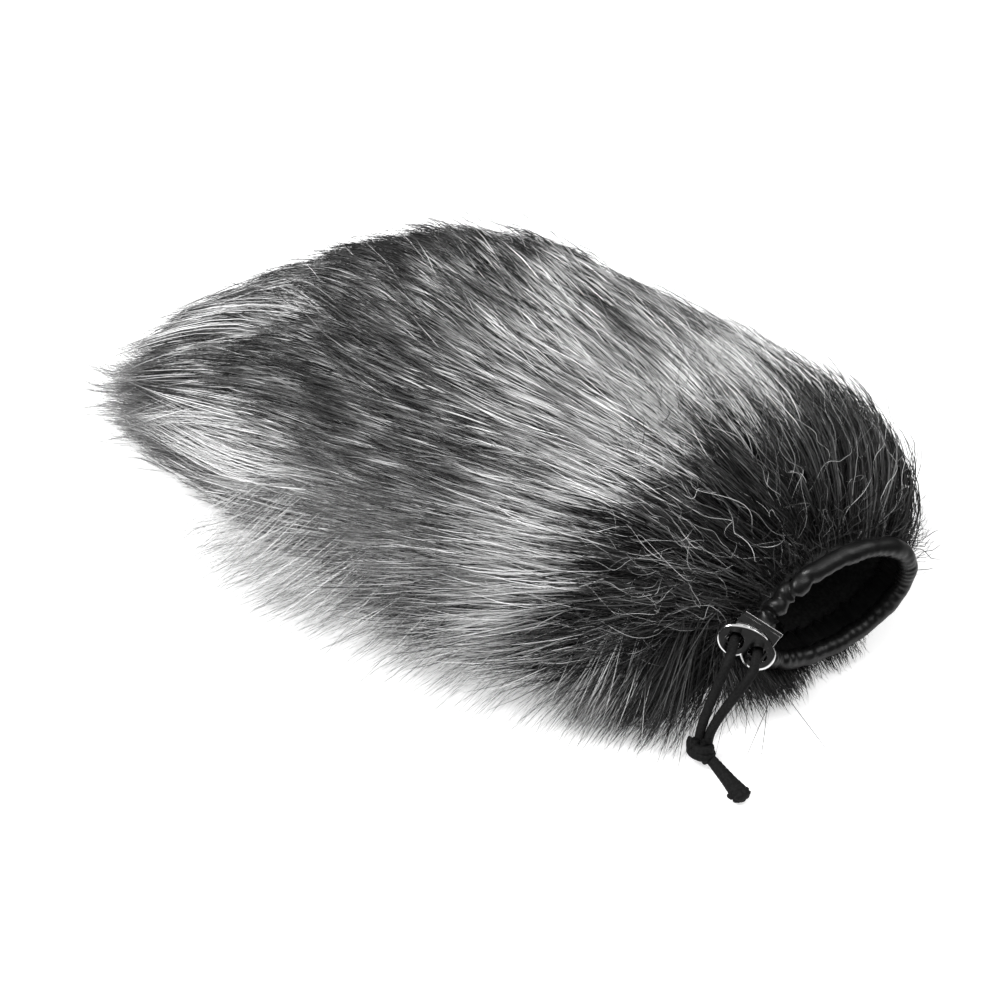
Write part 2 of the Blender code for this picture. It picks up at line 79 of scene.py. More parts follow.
# ---------------------------------------------------------------- shape of the bag, as in the CAD
MOUTH_TURN = radians(36.0)
NECK_LENGTH = 0.010
BEND_LENGTH = 0.050
BEND_END_X = 0.075
MOUTH_HEIGHT = 0.029
BODY_HEIGHT = 0.041
HEM_HALF_WIDTH = 0.0285
HEM_HALF_HEIGHT = 0.0193
LEATHER_RADIUS = 0.00315
BACKING_END = 0.205
BACKING_HALF = 0.0006
DOME_START = 0.168
PILE_END = 0.273
# spine distance, half width, top height
PILE_SHAPE = np.array((
    (0.000, 0.040, 0.056), (0.014, 0.052, 0.067), (0.040, 0.063, 0.080),
    (0.080, 0.073, 0.088), (0.120, 0.077, 0.092), (0.160, 0.073, 0.091),
    (0.200, 0.061, 0.079), (0.235, 0.043, 0.058), (0.262, 0.024, 0.039),
    (0.273, 0.015, 0.029),
))
# spine distance, half width, half height, middle height
BACKING_SHAPE = np.array((
    (0.000, HEM_HALF_WIDTH, HEM_HALF_HEIGHT, MOUTH_HEIGHT),
    (0.012, HEM_HALF_WIDTH, HEM_HALF_HEIGHT, MOUTH_HEIGHT),
    (0.040, 0.036, 0.022, 0.034), (0.080, 0.043, 0.026, BODY_HEIGHT),
    (0.130, 0.045, 0.027, BODY_HEIGHT), (0.170, 0.043, 0.025, BODY_HEIGHT),
    (0.205, 0.038, 0.022, BODY_HEIGHT),
))

# ---------------------------------------------------------------- joints, from the frame
JOINTS = {joint["name"]: joint for joint in frame["joints"]}
LOCK_OUT = Vector(JOINTS["lock_slide"]["axis"]).normalized()
LOCK_UP = -Vector(JOINTS["plate_press"]["axis"]).normalized()
LOCK_ACROSS = LOCK_UP.cross(LOCK_OUT).normalized()
SWING_POINT = Vector(JOINTS["cord_swing"]["pos_m"])

CORD_RADIUS = 0.0015
HOLE_OFFSET = 0.0040
HOLE_RADIUS = 0.00295
LOBE_RADIUS = 0.0054
BODY_TOP = 0.0066
POCKET_FLOOR = -0.0042
PLATE_BOTTOM = 0.0090
LOCK_BACK = 0.0055
LOCK_THICKNESS = 0.0060
CORD_FRONT = 0.0193
LOCK_MIDDLE = LOCK_BACK + LOCK_THICKNESS / 2.0


def centre_of(node):
    """Middle of a CAD node's box."""
    low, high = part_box(node)
    return (Vector(low) + Vector(high)) / 2.0


KNOT_CENTRE = centre_of("cord_knot")


def lock_axes():
    """Axes of the lock: x across the holes, y up to the plate, z out of the front."""
    turn = Matrix((LOCK_ACROSS, LOCK_UP, LOCK_OUT)).transposed().to_4x4()
    origin = SWING_POINT - CORD_FRONT * LOCK_OUT
    return Matrix.Translation(origin) @ turn


LOCK = lock_axes()


# ---------------------------------------------------------------- surface of the bag, for arrays

def shape_at(table, distance):
    """Values of a shape table at many spine distances: one column for each value."""
    keys, rows = table[:, 0], table[:, 1:]
    slopes = np.gradient(rows, keys, axis=0)
    distance = np.clip(np.asarray(distance, float), keys[0], None)
    i = np.clip(np.searchsorted(keys, distance) - 1, 0, len(keys) - 2)
    span = keys[i + 1] - keys[i]
    t = np.clip((distance - keys[i]) / span, 0.0, 1.0)[..., None]
    ease = t * t * (3.0 - 2.0 * t)
    swing = span[..., None] * (t * (1.0 - t) ** 2 * slopes[i] - t * t * (1.0 - t) * slopes[i + 1])
    return rows[i] + ease * (rows[i + 1] - rows[i]) + swing


def spine(distance):
    """Plan position and heading angle on the spine at many distances from the mouth."""
    distance = np.asarray(distance, float)
    radius = BEND_LENGTH / MOUTH_TURN
    into_bend = np.clip(distance - NECK_LENGTH, 0.0, BEND_LENGTH)
    angle = MOUTH_TURN * (1.0 - into_bend / BEND_LENGTH)
    ahead = np.maximum(NECK_LENGTH - distance, 0.0)
    behind = np.maximum(distance - NECK_LENGTH - BEND_LENGTH, 0.0)
    x = BEND_END_X + radius * np.sin(angle) + ahead * np.cos(angle) - behind
    y = -radius * (1.0 - np.cos(angle)) - ahead * np.sin(angle)
    return x, y, angle


def superellipse(turn, half_width, half_height, exponent):
    """Sideways and upward offsets of a section's outline."""
    c, s = np.cos(turn), np.sin(turn)
    power = 2.0 / exponent
    return (half_width * np.sign(c) * np.abs(c) ** power,
            half_height * np.sign(s) * np.abs(s) ** power)


def place(distance, sideways, height):
    """Points on the planes across the spine."""
    x, y, angle = spine(distance)
    return np.stack([x + sideways * np.sin(angle), y + sideways * np.cos(angle), height], axis=-1)


def backing_point(distance, turn, share=1.0):
    """Points on the backing's middle surface; share below 1 moves them towards the spine."""
    distance = np.asarray(distance, float)
    values = shape_at(BACKING_SHAPE, distance)
    along = np.clip((distance - DOME_START) / (BACKING_END - DOME_START), 0.0, 1.0)
    rounding = np.maximum(0.25, np.sqrt(np.maximum(0.0, 1.0 - along ** 2.6)))
    blend = np.clip((distance - 0.012) / 0.04, 0.0, 1.0)
    y, z = superellipse(turn, values[..., 0] * rounding * share, values[..., 1] * rounding * share,
                        2.0 + 0.4 * blend)
    return place(distance, y, z + values[..., 2])


def pile_point(distance, turn, share=1.0):
    """Points on the pile's outer envelope; share below 1 moves them towards its middle."""
    distance = np.asarray(distance, float)
    values = shape_at(PILE_SHAPE, np.minimum(distance, PILE_END))
    top = values[..., 1]
    lift = 0.004 * np.clip(1.0 - distance / 0.030, 0.0, 1.0)
    low = lift - 0.0035
    y, z = superellipse(turn, values[..., 0] * share, (top - low) / 2.0 * share, 2.5)
    height = np.maximum(z + (top + low) / 2.0, lift + 0.0004)
    return place(distance, y, height)


def unit(v):
    """Vectors at length one."""
    return v / np.maximum(np.linalg.norm(v, axis=-1, keepdims=True), 1e-12)


def backing_axes(distance, turn):
    """Outward normal and tailward direction on the backing."""
    step = 0.0008
    along = backing_point(distance + step, turn) - backing_point(distance - step, turn)
    around = backing_point(distance, turn + 0.02) - backing_point(distance, turn - 0.02)
    tailward = unit(along)
    normal = unit(np.cross(around, tailward))
    outward = backing_point(distance, turn) - backing_point(distance, turn, 0.5)
    flip = np.sign(np.sum(normal * outward, axis=-1, keepdims=True))
    return normal * np.where(flip == 0.0, 1.0, flip), tailward


# ---------------------------------------------------------------- materials

class Graph:
    """Node tree of a material or of the world, with short ways to add what is used here."""

    def __init__(self, tree):
        self.tree = tree

    def add(self, kind, inputs=None, **settings):
        """A new shader node: its properties set, its inputs linked to sockets or given values."""
        node = self.tree.nodes.new("ShaderNode" + kind)
        for key, value in settings.items():
            setattr(node, key, value)
        self.feed(node, inputs or {})
        return node

    def feed(self, node, inputs):
        """Link a node's inputs to sockets, or give them values."""
        for key, value in inputs.items():
            if isinstance(value, bpy.types.NodeSocket):
                self.tree.links.new(value, node.inputs[key])
            else:
                node.inputs[key].default_value = value

    def math(self, operation, *values):
        return self.add("Math", dict(enumerate(values)), operation=operation).outputs[0]

    def smooth_step(self, value, low, high):
        """0 below low, 1 above high and smooth between."""
        inputs = {"Value": value, "From Min": low, "From Max": high}
        return self.add("MapRange", inputs, interpolation_type="SMOOTHSTEP").outputs[0]

    def ramp(self, value, stops, interpolation="LINEAR"):
        """Colour ramp through grey stops (position, grey)."""
        node = self.add("ValToRGB", {0: value})
        node.color_ramp.interpolation = interpolation
        points = node.color_ramp.elements
        while len(points) < len(stops):
            points.new(1.0)
        for k, (position, grey) in enumerate(stops):
            points[k].position = position
            points[k].color = (grey, grey, grey, 1.0)
        return node.outputs[0]

    def lookup(self, value, numbers):
        """Stepped look-up: the number of the eighth that a 0 to 1 value falls in."""
        low, high = min(numbers), max(numbers)
        stops = [(k / len(numbers), (number - low) / (high - low))
                 for k, number in enumerate(numbers)]
        return self.math("MULTIPLY_ADD", self.ramp(value, stops, "CONSTANT"), high - low, low)

    def noise(self, scale, detail):
        """Noise over the piece's own coordinates."""
        place_on = self.add("TexCoord").outputs["Object"]
        inputs = {"Scale": scale, "Detail": detail, "Vector": place_on}
        return self.add("TexNoise", inputs).outputs["Fac"]

    def bump(self, height, strength, distance):
        inputs = {"Strength": strength, "Distance": distance, "Height": height}
        return self.add("Bump", inputs).outputs[0]


def new_material(name):
    """A node material, its graph and its Principled shader."""
    made = bpy.data.materials.new(name)
    made.use_nodes = True
    return made, Graph(made.node_tree), made.node_tree.nodes["Principled BSDF"]


FUR_UV = "OFBake"
GLOSS = "Specular IOR Level"
TONE_LEVELS = 8
TONE_SHADES = 8
# Part of a strand over which its tone changes
TONE_FADE = 0.16
# For each tone level: where the dark root ends, where the dark tip begins and how dark it gets
DARK_SHARE = (0.02, 0.10, 0.22, 0.34, 0.44, 0.64, 1.50, -1.00)
TIP_START = (0.70, 0.62, 0.58, 0.62, 0.86, 0.96, 2.00, 2.00)
TIP_DEPTH = (0.75, 0.96, 1.00, 1.00, 0.60, 0.30, 0.00, 0.00)
DARK_LEVEL = 6
WHITE_LEVEL = 7


def fur_material(name):
    """Hair with a dark root, a silver middle and a dark tip, set by the strand's own lane."""
    made, graph, shader = new_material(name)
    place_on = graph.add("UVMap", uv_map=FUR_UV).outputs[0]
    lane, along = graph.add("SeparateXYZ", {0: place_on}).outputs[:2]
    shade = graph.math("FRACT", graph.math("MULTIPLY", lane, TONE_LEVELS))
    dark_share, tip_start = graph.lookup(lane, DARK_SHARE), graph.lookup(lane, TIP_START)
    lit = graph.smooth_step(along, dark_share, graph.math("ADD", dark_share, TONE_FADE))
    tip = graph.smooth_step(along, tip_start, graph.math("ADD", tip_start, TONE_FADE))
    tip = graph.math("MULTIPLY", tip, graph.lookup(lane, TIP_DEPTH))
    lit = graph.math("MULTIPLY", lit, graph.math("SUBTRACT", 1.0, tip))
    silver = graph.math("MULTIPLY_ADD", shade, 0.66, 0.26)
    root = graph.math("MULTIPLY_ADD", graph.math("POWER", shade, 4.0), 0.09, 0.008)
    value = graph.math("MULTIPLY_ADD", graph.math("SUBTRACT", silver, root), lit, root)
    colour = graph.add("CombineColor", {0: value, 1: value, 2: value}).outputs[0]
    graph.feed(shader, {"Base Color": colour, "Roughness": 0.45, GLOSS: 0.30})
    return made


def leather_material():
    """Black leatherette: fine pebbled grain, soft sheen."""
    made, graph, shader = new_material("leatherette_black")
    inputs = {"Scale": 1500.0, "Vector": graph.add("TexCoord").outputs["Object"]}
    cells = graph.add("TexVoronoi", inputs, feature="SMOOTH_F1").outputs["Distance"]
    wrinkle = graph.noise(420.0, 5.0)
    graph.feed(shader, {
        "Normal": graph.bump(graph.math("MULTIPLY_ADD", wrinkle, 0.6, cells), 0.35, 0.00012),
        "Base Color": graph.ramp(graph.noise(160.0, 4.0), ((0.3, 0.003), (0.7, 0.008))),
        "Roughness": graph.ramp(wrinkle, ((0.3, 0.30), (0.7, 0.44))), GLOSS: 0.38})
    return made


def thread_material(name, noise, stops, bump=None, **values):
    """Cloth or thread: a mottled black that may also raise the surface."""
    made, graph, shader = new_material(name)
    tone = graph.noise(*noise)
    graph.feed(shader, {"Base Color": graph.ramp(tone, stops), **values})
    if bump:
        graph.feed(shader, {"Normal": graph.bump(tone, *bump)})
    return made


def chrome_material(name, roughness):
    """Chrome plate with faint handling marks."""
    made, graph, shader = new_material(name)
    marks = graph.noise(700.0, 6.0)
    graph.feed(shader, {
        "Base Color": graph.ramp(marks, ((0.35, 0.78), (0.7, 0.90))), "Metallic": 1.0,
        "Roughness": graph.ramp(marks, ((0.45, roughness), (0.85, roughness + 0.12)))})
    return made


# ---------------------------------------------------------------- mesh helpers

def add_object(name, data):
    """A new object in the scene."""
    obj = bpy.data.objects.new(name, data)
    bpy.context.scene.collection.objects.link(obj)
    return obj


def link_mesh(name, mesh, look):
    """A new smooth object in the scene, with one material."""
    mesh.materials.append(look)
    mesh.shade_smooth()
    return add_object(name, mesh)


def attach(obj, body, slot, *nodes):
    """Let a piece ride a body and hide the CAD nodes it stands for; the slot is not used."""
    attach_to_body(obj, body)
    if nodes:
        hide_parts(*nodes)


def rebuild(mesh, fill_holes=False):
    """Turn a mesh's faces outwards, after closing its open ends if asked."""
    work = bmesh.new()
    work.from_mesh(mesh)
    if fill_holes:
        bmesh.ops.holes_fill(work, edges=[edge for edge in work.edges if edge.is_boundary])
    bmesh.ops.recalc_face_normals(work, faces=work.faces)
    work.to_mesh(mesh)
    work.free()


def grid_mesh(name, points, look, cap=False, ring=False):
    """Mesh over a grid of points: rows close round, and the ends may be capped or joined."""
    index = np.arange(points[..., 0].size).reshape(points.shape[:2])
    if ring:
        index = np.concatenate([index, index[:1]])
    after = np.roll(index, -1, axis=1)
    faces = np.stack([index[:-1], after[:-1], after[1:], index[1:]], axis=-1)
    faces = faces.reshape(-1, 4).tolist()
    if cap:
        faces += [index[0][::-1].tolist(), index[-1].tolist()]
    mesh = bpy.data.meshes.new(name)
    mesh.from_pydata(points.reshape(-1, 3).tolist(), [], faces)
    rebuild(mesh)
    return link_mesh(name, mesh, look)


def resample(points, spacing):
    """Points along a polyline at an even spacing."""
    points = np.asarray([tuple(p) for p in points], float)
    lengths = np.concatenate([[0.0], np.cumsum(np.linalg.norm(np.diff(points, axis=0), axis=1))])
    count = max(2, int(round(lengths[-1] / spacing)) + 1)
    targets = np.linspace(0.0, lengths[-1], count)
    return np.stack([np.interp(targets, lengths, points[:, k]) for k in range(3)], axis=1), targets


def path_frames(points):
    """Side and up directions along a path, carried without twist."""
    tangents = unit(np.gradient(points, axis=0))
    side = np.cross(tangents[0], (0.0, 0.0, 1.0))
    if np.linalg.norm(side) < 0.1:
        side = np.cross(tangents[0], (0.0, 1.0, 0.0))
    sides = []
    for tangent in tangents:
        side = unit(side - np.dot(side, tangent) * tangent)
        sides.append(side)
    sides = np.array(sides)
    return sides, np.cross(tangents, sides)


BRAID_PITCH = 0.0034


def braided(name, points, radius, look, sides=24, spacing=0.00022, relief=0.00009, flat=None):
    """Round braided cord along a path; radius may be a function of the distance along it."""
    path, travel = resample(points, spacing)
    side, up = path_frames(path)
    turn = np.linspace(0.0, 2.0 * pi, sides, endpoint=False)
    base = radius(travel) if callable(radius) else np.full(len(travel), radius)
    twist = 4.0 * pi * travel[:, None] / BRAID_PITCH
    plait = np.maximum(np.cos(6.0 * turn + twist), np.cos(6.0 * turn - twist))
    width = base[:, None] + relief * (plait - 0.6)
    squeeze = 1.0 if flat is None else flat(travel)[:, None]
    offset = (np.cos(turn)[None, :, None] * side[:, None] * (width * squeeze)[..., None]
              + np.sin(turn)[None, :, None] * up[:, None] * (width / squeeze)[..., None])
    return grid_mesh(name, path[:, None] + offset, look, cap=True)


def lock_point(x, y, z):
    """Point given in the lock's axes."""
    return LOCK @ Vector((x, y, z))


# ---------------------------------------------------------------- fur

STRAND_POINTS = 9
STRAY_POINTS = 31
PIECE_STRANDS = 11000
ALONG = np.linspace(0.0, 1.0, STRAND_POINTS)[None, :, None]
# Room that the fur may take: the CAD model's box and what fabric may stand proud of it
PROUD = 0.0090
CAD_LOW, CAD_HIGH = np.array(CAD_BOX[0]), np.array(CAD_BOX[1])
FUR_LOW = CAD_LOW - PROUD - 0.025 * (CAD_HIGH - CAD_LOW)
FUR_LOW[2] = 0.0003
FUR_HIGH = CAD_HIGH + PROUD + 0.025 * (CAD_HIGH - CAD_LOW)
# Turn of the bag's low near side, in degrees
LOW_SIDE = 205.0


def cubic(start, start_pull, end, end_pull, points=STRAND_POINTS):
    """Cubics, of that many points, that leave start and reach end along the given pulls."""
    start, start_pull, end, end_pull = (
        np.asarray(value, float)[..., None, :] for value in (start, start_pull, end, end_pull))
    t = np.linspace(0.0, 1.0, points)[:, None]
    keep = 2 * t ** 3 - 3 * t ** 2 + 1
    return (keep * start + (1 - keep) * end
            + (t ** 3 - 2 * t ** 2 + t) * start_pull + (t ** 3 - t ** 2) * end_pull)


def above(strands, height):
    """Strands lifted where they lie lower than a height above the table."""
    strands[..., 2] = np.maximum(strands[..., 2], height)
    return strands


def wavy(strands, size, waves, highest):
    """A soft wave in each strand, which then lies no lower than a random height."""
    count = len(strands)
    wave = RNG.normal(size=(count, 1, 3)) * size
    strands = strands + wave * np.sin(ALONG * pi * waves + RNG.uniform(0, 6, (count, 1, 1))) * ALONG
    return above(strands, RNG.uniform(0.0004, highest, (count, 1)))


def hair_reach(distance):
    """How far a hair's tip lies tailwards of its root."""
    return np.interp(distance, (0.003, 0.010, 0.020, 0.040, 0.060, 0.120, 0.205),
                     (0.020, 0.028, 0.036, 0.044, 0.048, 0.048, 0.042))


def smooth(value, low, high):
    """0 below low, 1 above high and smooth between."""
    t = np.clip((value - low) / (high - low), 0.0, 1.0)
    return t * t * (3.0 - 2.0 * t)


def facing(turn, degrees, spread):
    """1 where the section's turn looks a given way and 0 further off than the spread."""
    away = np.abs((turn - radians(degrees) + pi) % (2 * pi) - pi)
    return 1.0 - smooth(away, 0.35 * radians(spread), radians(spread))


def fullness(distance, turn):
    """How much of the pile's envelope the hair fills: less on the low side of the tail."""
    near = 0.32 * facing(turn, LOW_SIDE, 95.0) * smooth(distance, 0.095, 0.205)
    far = 0.06 * facing(turn, 60.0, 80.0) * smooth(distance, 0.165, 0.215)
    crest = 0.12 * facing(turn, 75.0, 85.0) * smooth(distance, 0.035, 0.060)
    crest = crest * (1.0 - smooth(distance, 0.115, 0.150))
    return 1.0 - near - far - crest


def drift(distance, turn):
    """Turn by which hair on the top lies over towards the far side."""
    strength = np.interp(distance, (0.0, 0.02, 0.05, 0.12, 0.20), (0.02, 0.14, 0.24, 0.20, 0.06))
    return -strength * np.clip(np.sin(turn), 0.0, 1.0)


def grow(distance, turn, share, reach_scale, wander, root_share=1.0, points=STRAND_POINTS):
    """Strands from the backing to the pile's envelope: rooted upright, lying back at the tip."""
    root = backing_point(distance, turn, root_share)
    normal, tailward = backing_axes(distance, turn)
    tip_distance = distance + hair_reach(distance) * reach_scale
    tip_turn = turn + wander / 0.05 + drift(distance, turn)
    share = share * fullness(tip_distance, tip_turn)
    fade = np.clip((tip_distance - PILE_END) / 0.02, 0.0, 1.0)
    tip = pile_point(tip_distance, tip_turn, share * (1.0 - 0.3 * fade))
    beyond = pile_point(tip_distance + 0.004, tip_turn + drift(distance, turn) * 0.1, share)
    lean = unit(beyond - tip)
    span = np.linalg.norm(tip - root, axis=1, keepdims=True)
    start_pull = (0.95 * normal + 0.35 * tailward) * span
    end_pull = lean * span * 1.15
    return cubic(root, start_pull, tip, end_pull, points)


def clump_to(strands, keys, centres, centre_strands, strength):
    """Draw the outer part of each strand towards the strand of its nearest clump centre."""
    scale = np.array((1.0 / 0.010, 1.0 / 0.16))
    nearest = np.empty(len(keys), int)
    scaled = centres * scale
    for first in range(0, len(keys), 4000):
        block = keys[first:first + 4000] * scale
        gap = block[:, None] - scaled[None]
        gap[..., 1] = (gap[..., 1] + pi * scale[1]) % (2 * pi * scale[1]) - pi * scale[1]
        nearest[first:first + 4000] = np.argmin(np.sum(gap ** 2, axis=2), axis=1)
    pull = ALONG ** 1.6 * strength[:, None, None]
    return strands + (centre_strands[nearest] - strands) * pull, nearest


def outside_lock(strands, low, high):
    """Which strands stay out of a block in the lock's axes."""
    inverse = np.array(LOCK.inverted())
    local = strands @ inverse[:3, :3].T + inverse[:3, 3]
    inside = np.all((local > np.array(low)) & (local < np.array(high)), axis=2)
    return ~inside.any(axis=1)


def mouth_axes():
    """Middle of the mouth and its axes: out of the opening, across it, up."""
    x, y, angle = spine(np.array(0.0))
    out = np.array((cos(angle), -sin(angle), 0.0))
    across = np.array((sin(angle), cos(angle), 0.0))
    return np.array((float(x), float(y), MOUTH_HEIGHT)), out, across


def outside_mouth(strands):
    """Which strands stay clear of the hem and the opening in front of it."""
    middle, out, across = mouth_axes()
    rel = strands - middle
    ahead = rel @ out
    y, z = rel @ across, rel[..., 2]
    oval = (y / (HEM_HALF_WIDTH + 0.0028)) ** 2 + (z / (HEM_HALF_HEIGHT + 0.0028)) ** 2
    return ~((ahead > -0.0010) & (oval < 1.0)).any(axis=1)


def ribbons(name, strands, width, level, shade, look, tip_width):
    """Strands as flat tapering ribbons, each with its tone lane in the UV map."""
    count, points = strands.shape[:2]
    t = np.linspace(0.0, 1.0, points)
    tangent = unit(np.gradient(strands, axis=1))
    roll = unit(RNG.normal(size=(count, 1, 3)) + np.array((0.0, -0.3, 0.9)))
    side = unit(np.cross(tangent, roll))
    taper = 1.0 - (1.0 - tip_width) * t ** 5.0
    half = (width[:, None] * taper[None] / 2.0)[..., None] * side
    vertices = np.stack([strands - half, strands + half], axis=2).reshape(-1, 3)
    base = (np.arange(count) * points * 2)[:, None] + (np.arange(points - 1) * 2)[None]
    quads = np.stack([base, base + 1, base + 3, base + 2], axis=-1).reshape(-1, 4)
    mesh = bpy.data.meshes.new(name)
    mesh.vertices.add(len(vertices))
    mesh.vertices.foreach_set("co", vertices.astype(np.float32).ravel())
    mesh.loops.add(quads.size)
    mesh.loops.foreach_set("vertex_index", quads.astype(np.int32).ravel())
    mesh.polygons.add(len(quads))
    mesh.polygons.foreach_set("loop_start", np.arange(0, quads.size, 4, dtype=np.int32))
    mesh.update(calc_edges=True)
    mesh.validate()
    lane = (level + (shade + 0.1) / TONE_SHADES) / TONE_LEVELS
    lane_width = 0.8 / (TONE_LEVELS * TONE_SHADES)
    u = np.repeat(lane[:, None, None], points, axis=1) + np.array((0.0, lane_width))[None, None]
    v = np.repeat((0.01 + 0.98 * t)[None, :, None], count, axis=0).repeat(2, axis=2)
    uv = np.stack([np.broadcast_to(u, v.shape), v], axis=-1).reshape(-1, 2)
    layer = mesh.uv_layers.new(name=FUR_UV)
    layer.data.foreach_set("uv", uv[quads.ravel()].astype(np.float32).ravel())
    return link_mesh(name, mesh, look)


def in_pieces(prefix, strands, width, level, shade, look=None, tip_width=0.22):
    """Several ribbon meshes with one look, each small enough to be kept whole."""
    look = fur_material(look or prefix)
    made = []
    for k, first in enumerate(range(0, len(strands), PIECE_STRANDS)):
        part = slice(first, first + PIECE_STRANDS)
        made.append(ribbons(f"{prefix}_{k + 1}", strands[part], width[part], level[part],
                            shade[part], look, tip_width))
    return made


def random_hair(prefix, strands, level, widths, look=None, first_shade=0, tip_width=0.22):
    """Ribbons of one or more tone levels, with a random shade and a random width in mm each."""
    total = len(strands)
    shade = RNG.integers(first_shade, TONE_SHADES, total)
    width = RNG.uniform(*widths, total) * MM
    return in_pieces(prefix, strands, width, np.broadcast_to(level, total), shade, look, tip_width)


def frizz(strands, amount):
    """Kinks that grow along each strand, kept above the table."""
    kink = np.cumsum(RNG.normal(0.0, amount, strands.shape), axis=1)
    return above(strands + kink * np.minimum(1.0, 2.0 * ALONG), 0.0005)


def random_roots(count, low, high, near_end=0.06):
    """Root positions spread evenly over the backing, some of them on the closed end's cap."""
    distance = RNG.uniform(low, high, count)
    turn = RNG.uniform(0.0, 2.0 * pi, count)
    girth = np.hypot(*shape_at(BACKING_SHAPE, distance)[..., :2].T)
    keep = RNG.uniform(0.0, 0.055, count) < girth
    distance, turn = distance[keep], turn[keep]
    root_share = np.ones(len(distance))
    capped = RNG.uniform(size=len(distance)) < near_end
    distance = np.where(capped, BACKING_END - 0.001, distance)
    root_share = np.where(capped, np.sqrt(RNG.uniform(0.02, 1.0, len(distance))), root_share)
    return distance, turn, root_share


def inside_bounds(strands):
    """Which strands stay within the room that fur may take."""
    low, high = strands.min(axis=1), strands.max(axis=1)
    return np.all((low > FUR_LOW) & (high < FUR_HIGH), axis=1)


def clear_of_far_foot(strands):
    """Which strands don't show under the far lower side of the mouth, near the table."""
    middle, out, across = mouth_axes()
    from_middle = strands - middle
    ahead, sideways = from_middle @ out, from_middle @ across
    limit = RNG.uniform(0.010, 0.018, (len(strands), 1))
    under = (sideways > limit) & (ahead > -0.011) & (strands[..., 2] < 0.8 * sideways)
    return ~np.any(under & (strands[..., 2] < 0.024), axis=1)


def trim(strands, lock_low, *columns):
    """Strands clear of the lock, the mouth and the limits, with their own columns of values."""
    keep = outside_lock(strands, (-0.0112, -0.0072, lock_low), (0.0112, 0.0108, 0.0600))
    keep &= outside_mouth(strands) & inside_bounds(strands) & clear_of_far_foot(strands)
    return (strands[keep],) + tuple(column[keep] for column in columns)


def band_shift(turn):
    """How much further back the silver band lies than on top: further on the low side."""
    return 0.030 * facing(turn, LOW_SIDE, 110.0) - 0.009 * facing(turn, 42.0, 66.0)


def low_side(tip_distance, turn):
    """1 on the pale low side of the bag's rear half."""
    return facing(turn, LOW_SIDE, 75.0) * smooth(tip_distance, 0.110, 0.160)


def dark_top(tip_distance, turn):
    """1 on the darker top of the bag, behind the silver band."""
    return (facing(turn, 85.0, 80.0) * smooth(tip_distance, 0.098, 0.124)
            * (1.0 - smooth(tip_distance, 0.19, 0.23)))


def pile_tones(tip_distance, turn, clump_noise):
    """Tone level of each strand, from where its tip lies."""
    jitter = 0.0060 * clump_noise + RNG.normal(0.0, 0.0060, len(turn))
    place_on = tip_distance - band_shift(turn) + jitter
    level = np.full(len(turn), DARK_LEVEL)
    level = np.where(place_on > 0.061, 5, level)
    level = np.where(place_on > 0.070, 4, level)
    mix = 1.9 + 1.25 * clump_noise + RNG.normal(0.0, 0.85, len(turn))
    mix = (mix - 0.9 * smooth(tip_distance, 0.17, 0.25)
           - 0.5 * (1.0 - smooth(place_on, 0.100, 0.135)))
    mix = mix + (RNG.normal(0.0, 1.2, len(turn)) - 1.2) * low_side(tip_distance, turn)
    mix = mix + 0.7 * dark_top(tip_distance, turn)
    level = np.where(place_on > 0.088, np.clip(np.round(mix), 0, 3), level)
    return level.astype(int)


def splay(strands, distance, turn):
    """Let the hair of both low sides run out over the table instead of under the bag."""
    normal, tailward = backing_axes(distance, turn)
    heading = normal + 0.5 * tailward
    heading[:, 2] = 0.0
    count = len(distance)
    amount = RNG.uniform(-0.2, 1.0, count) * (0.016 * facing(turn, LOW_SIDE, 62.0)
                                              + 0.010 * facing(turn, -20.0, 55.0))
    amount = amount * np.interp(distance, (0.0, 0.04, 0.15, 0.205), (0.6, 1.0, 0.75, 0.3))
    spread = strands + unit(heading)[:, None] * amount[:, None, None] * ALONG ** 1.5
    sink = 0.45 * np.maximum(amount, 0.0) / 0.016
    spread[..., 2] = spread[..., 2] * (1.0 - sink[:, None] * ALONG[..., 0])
    return spread


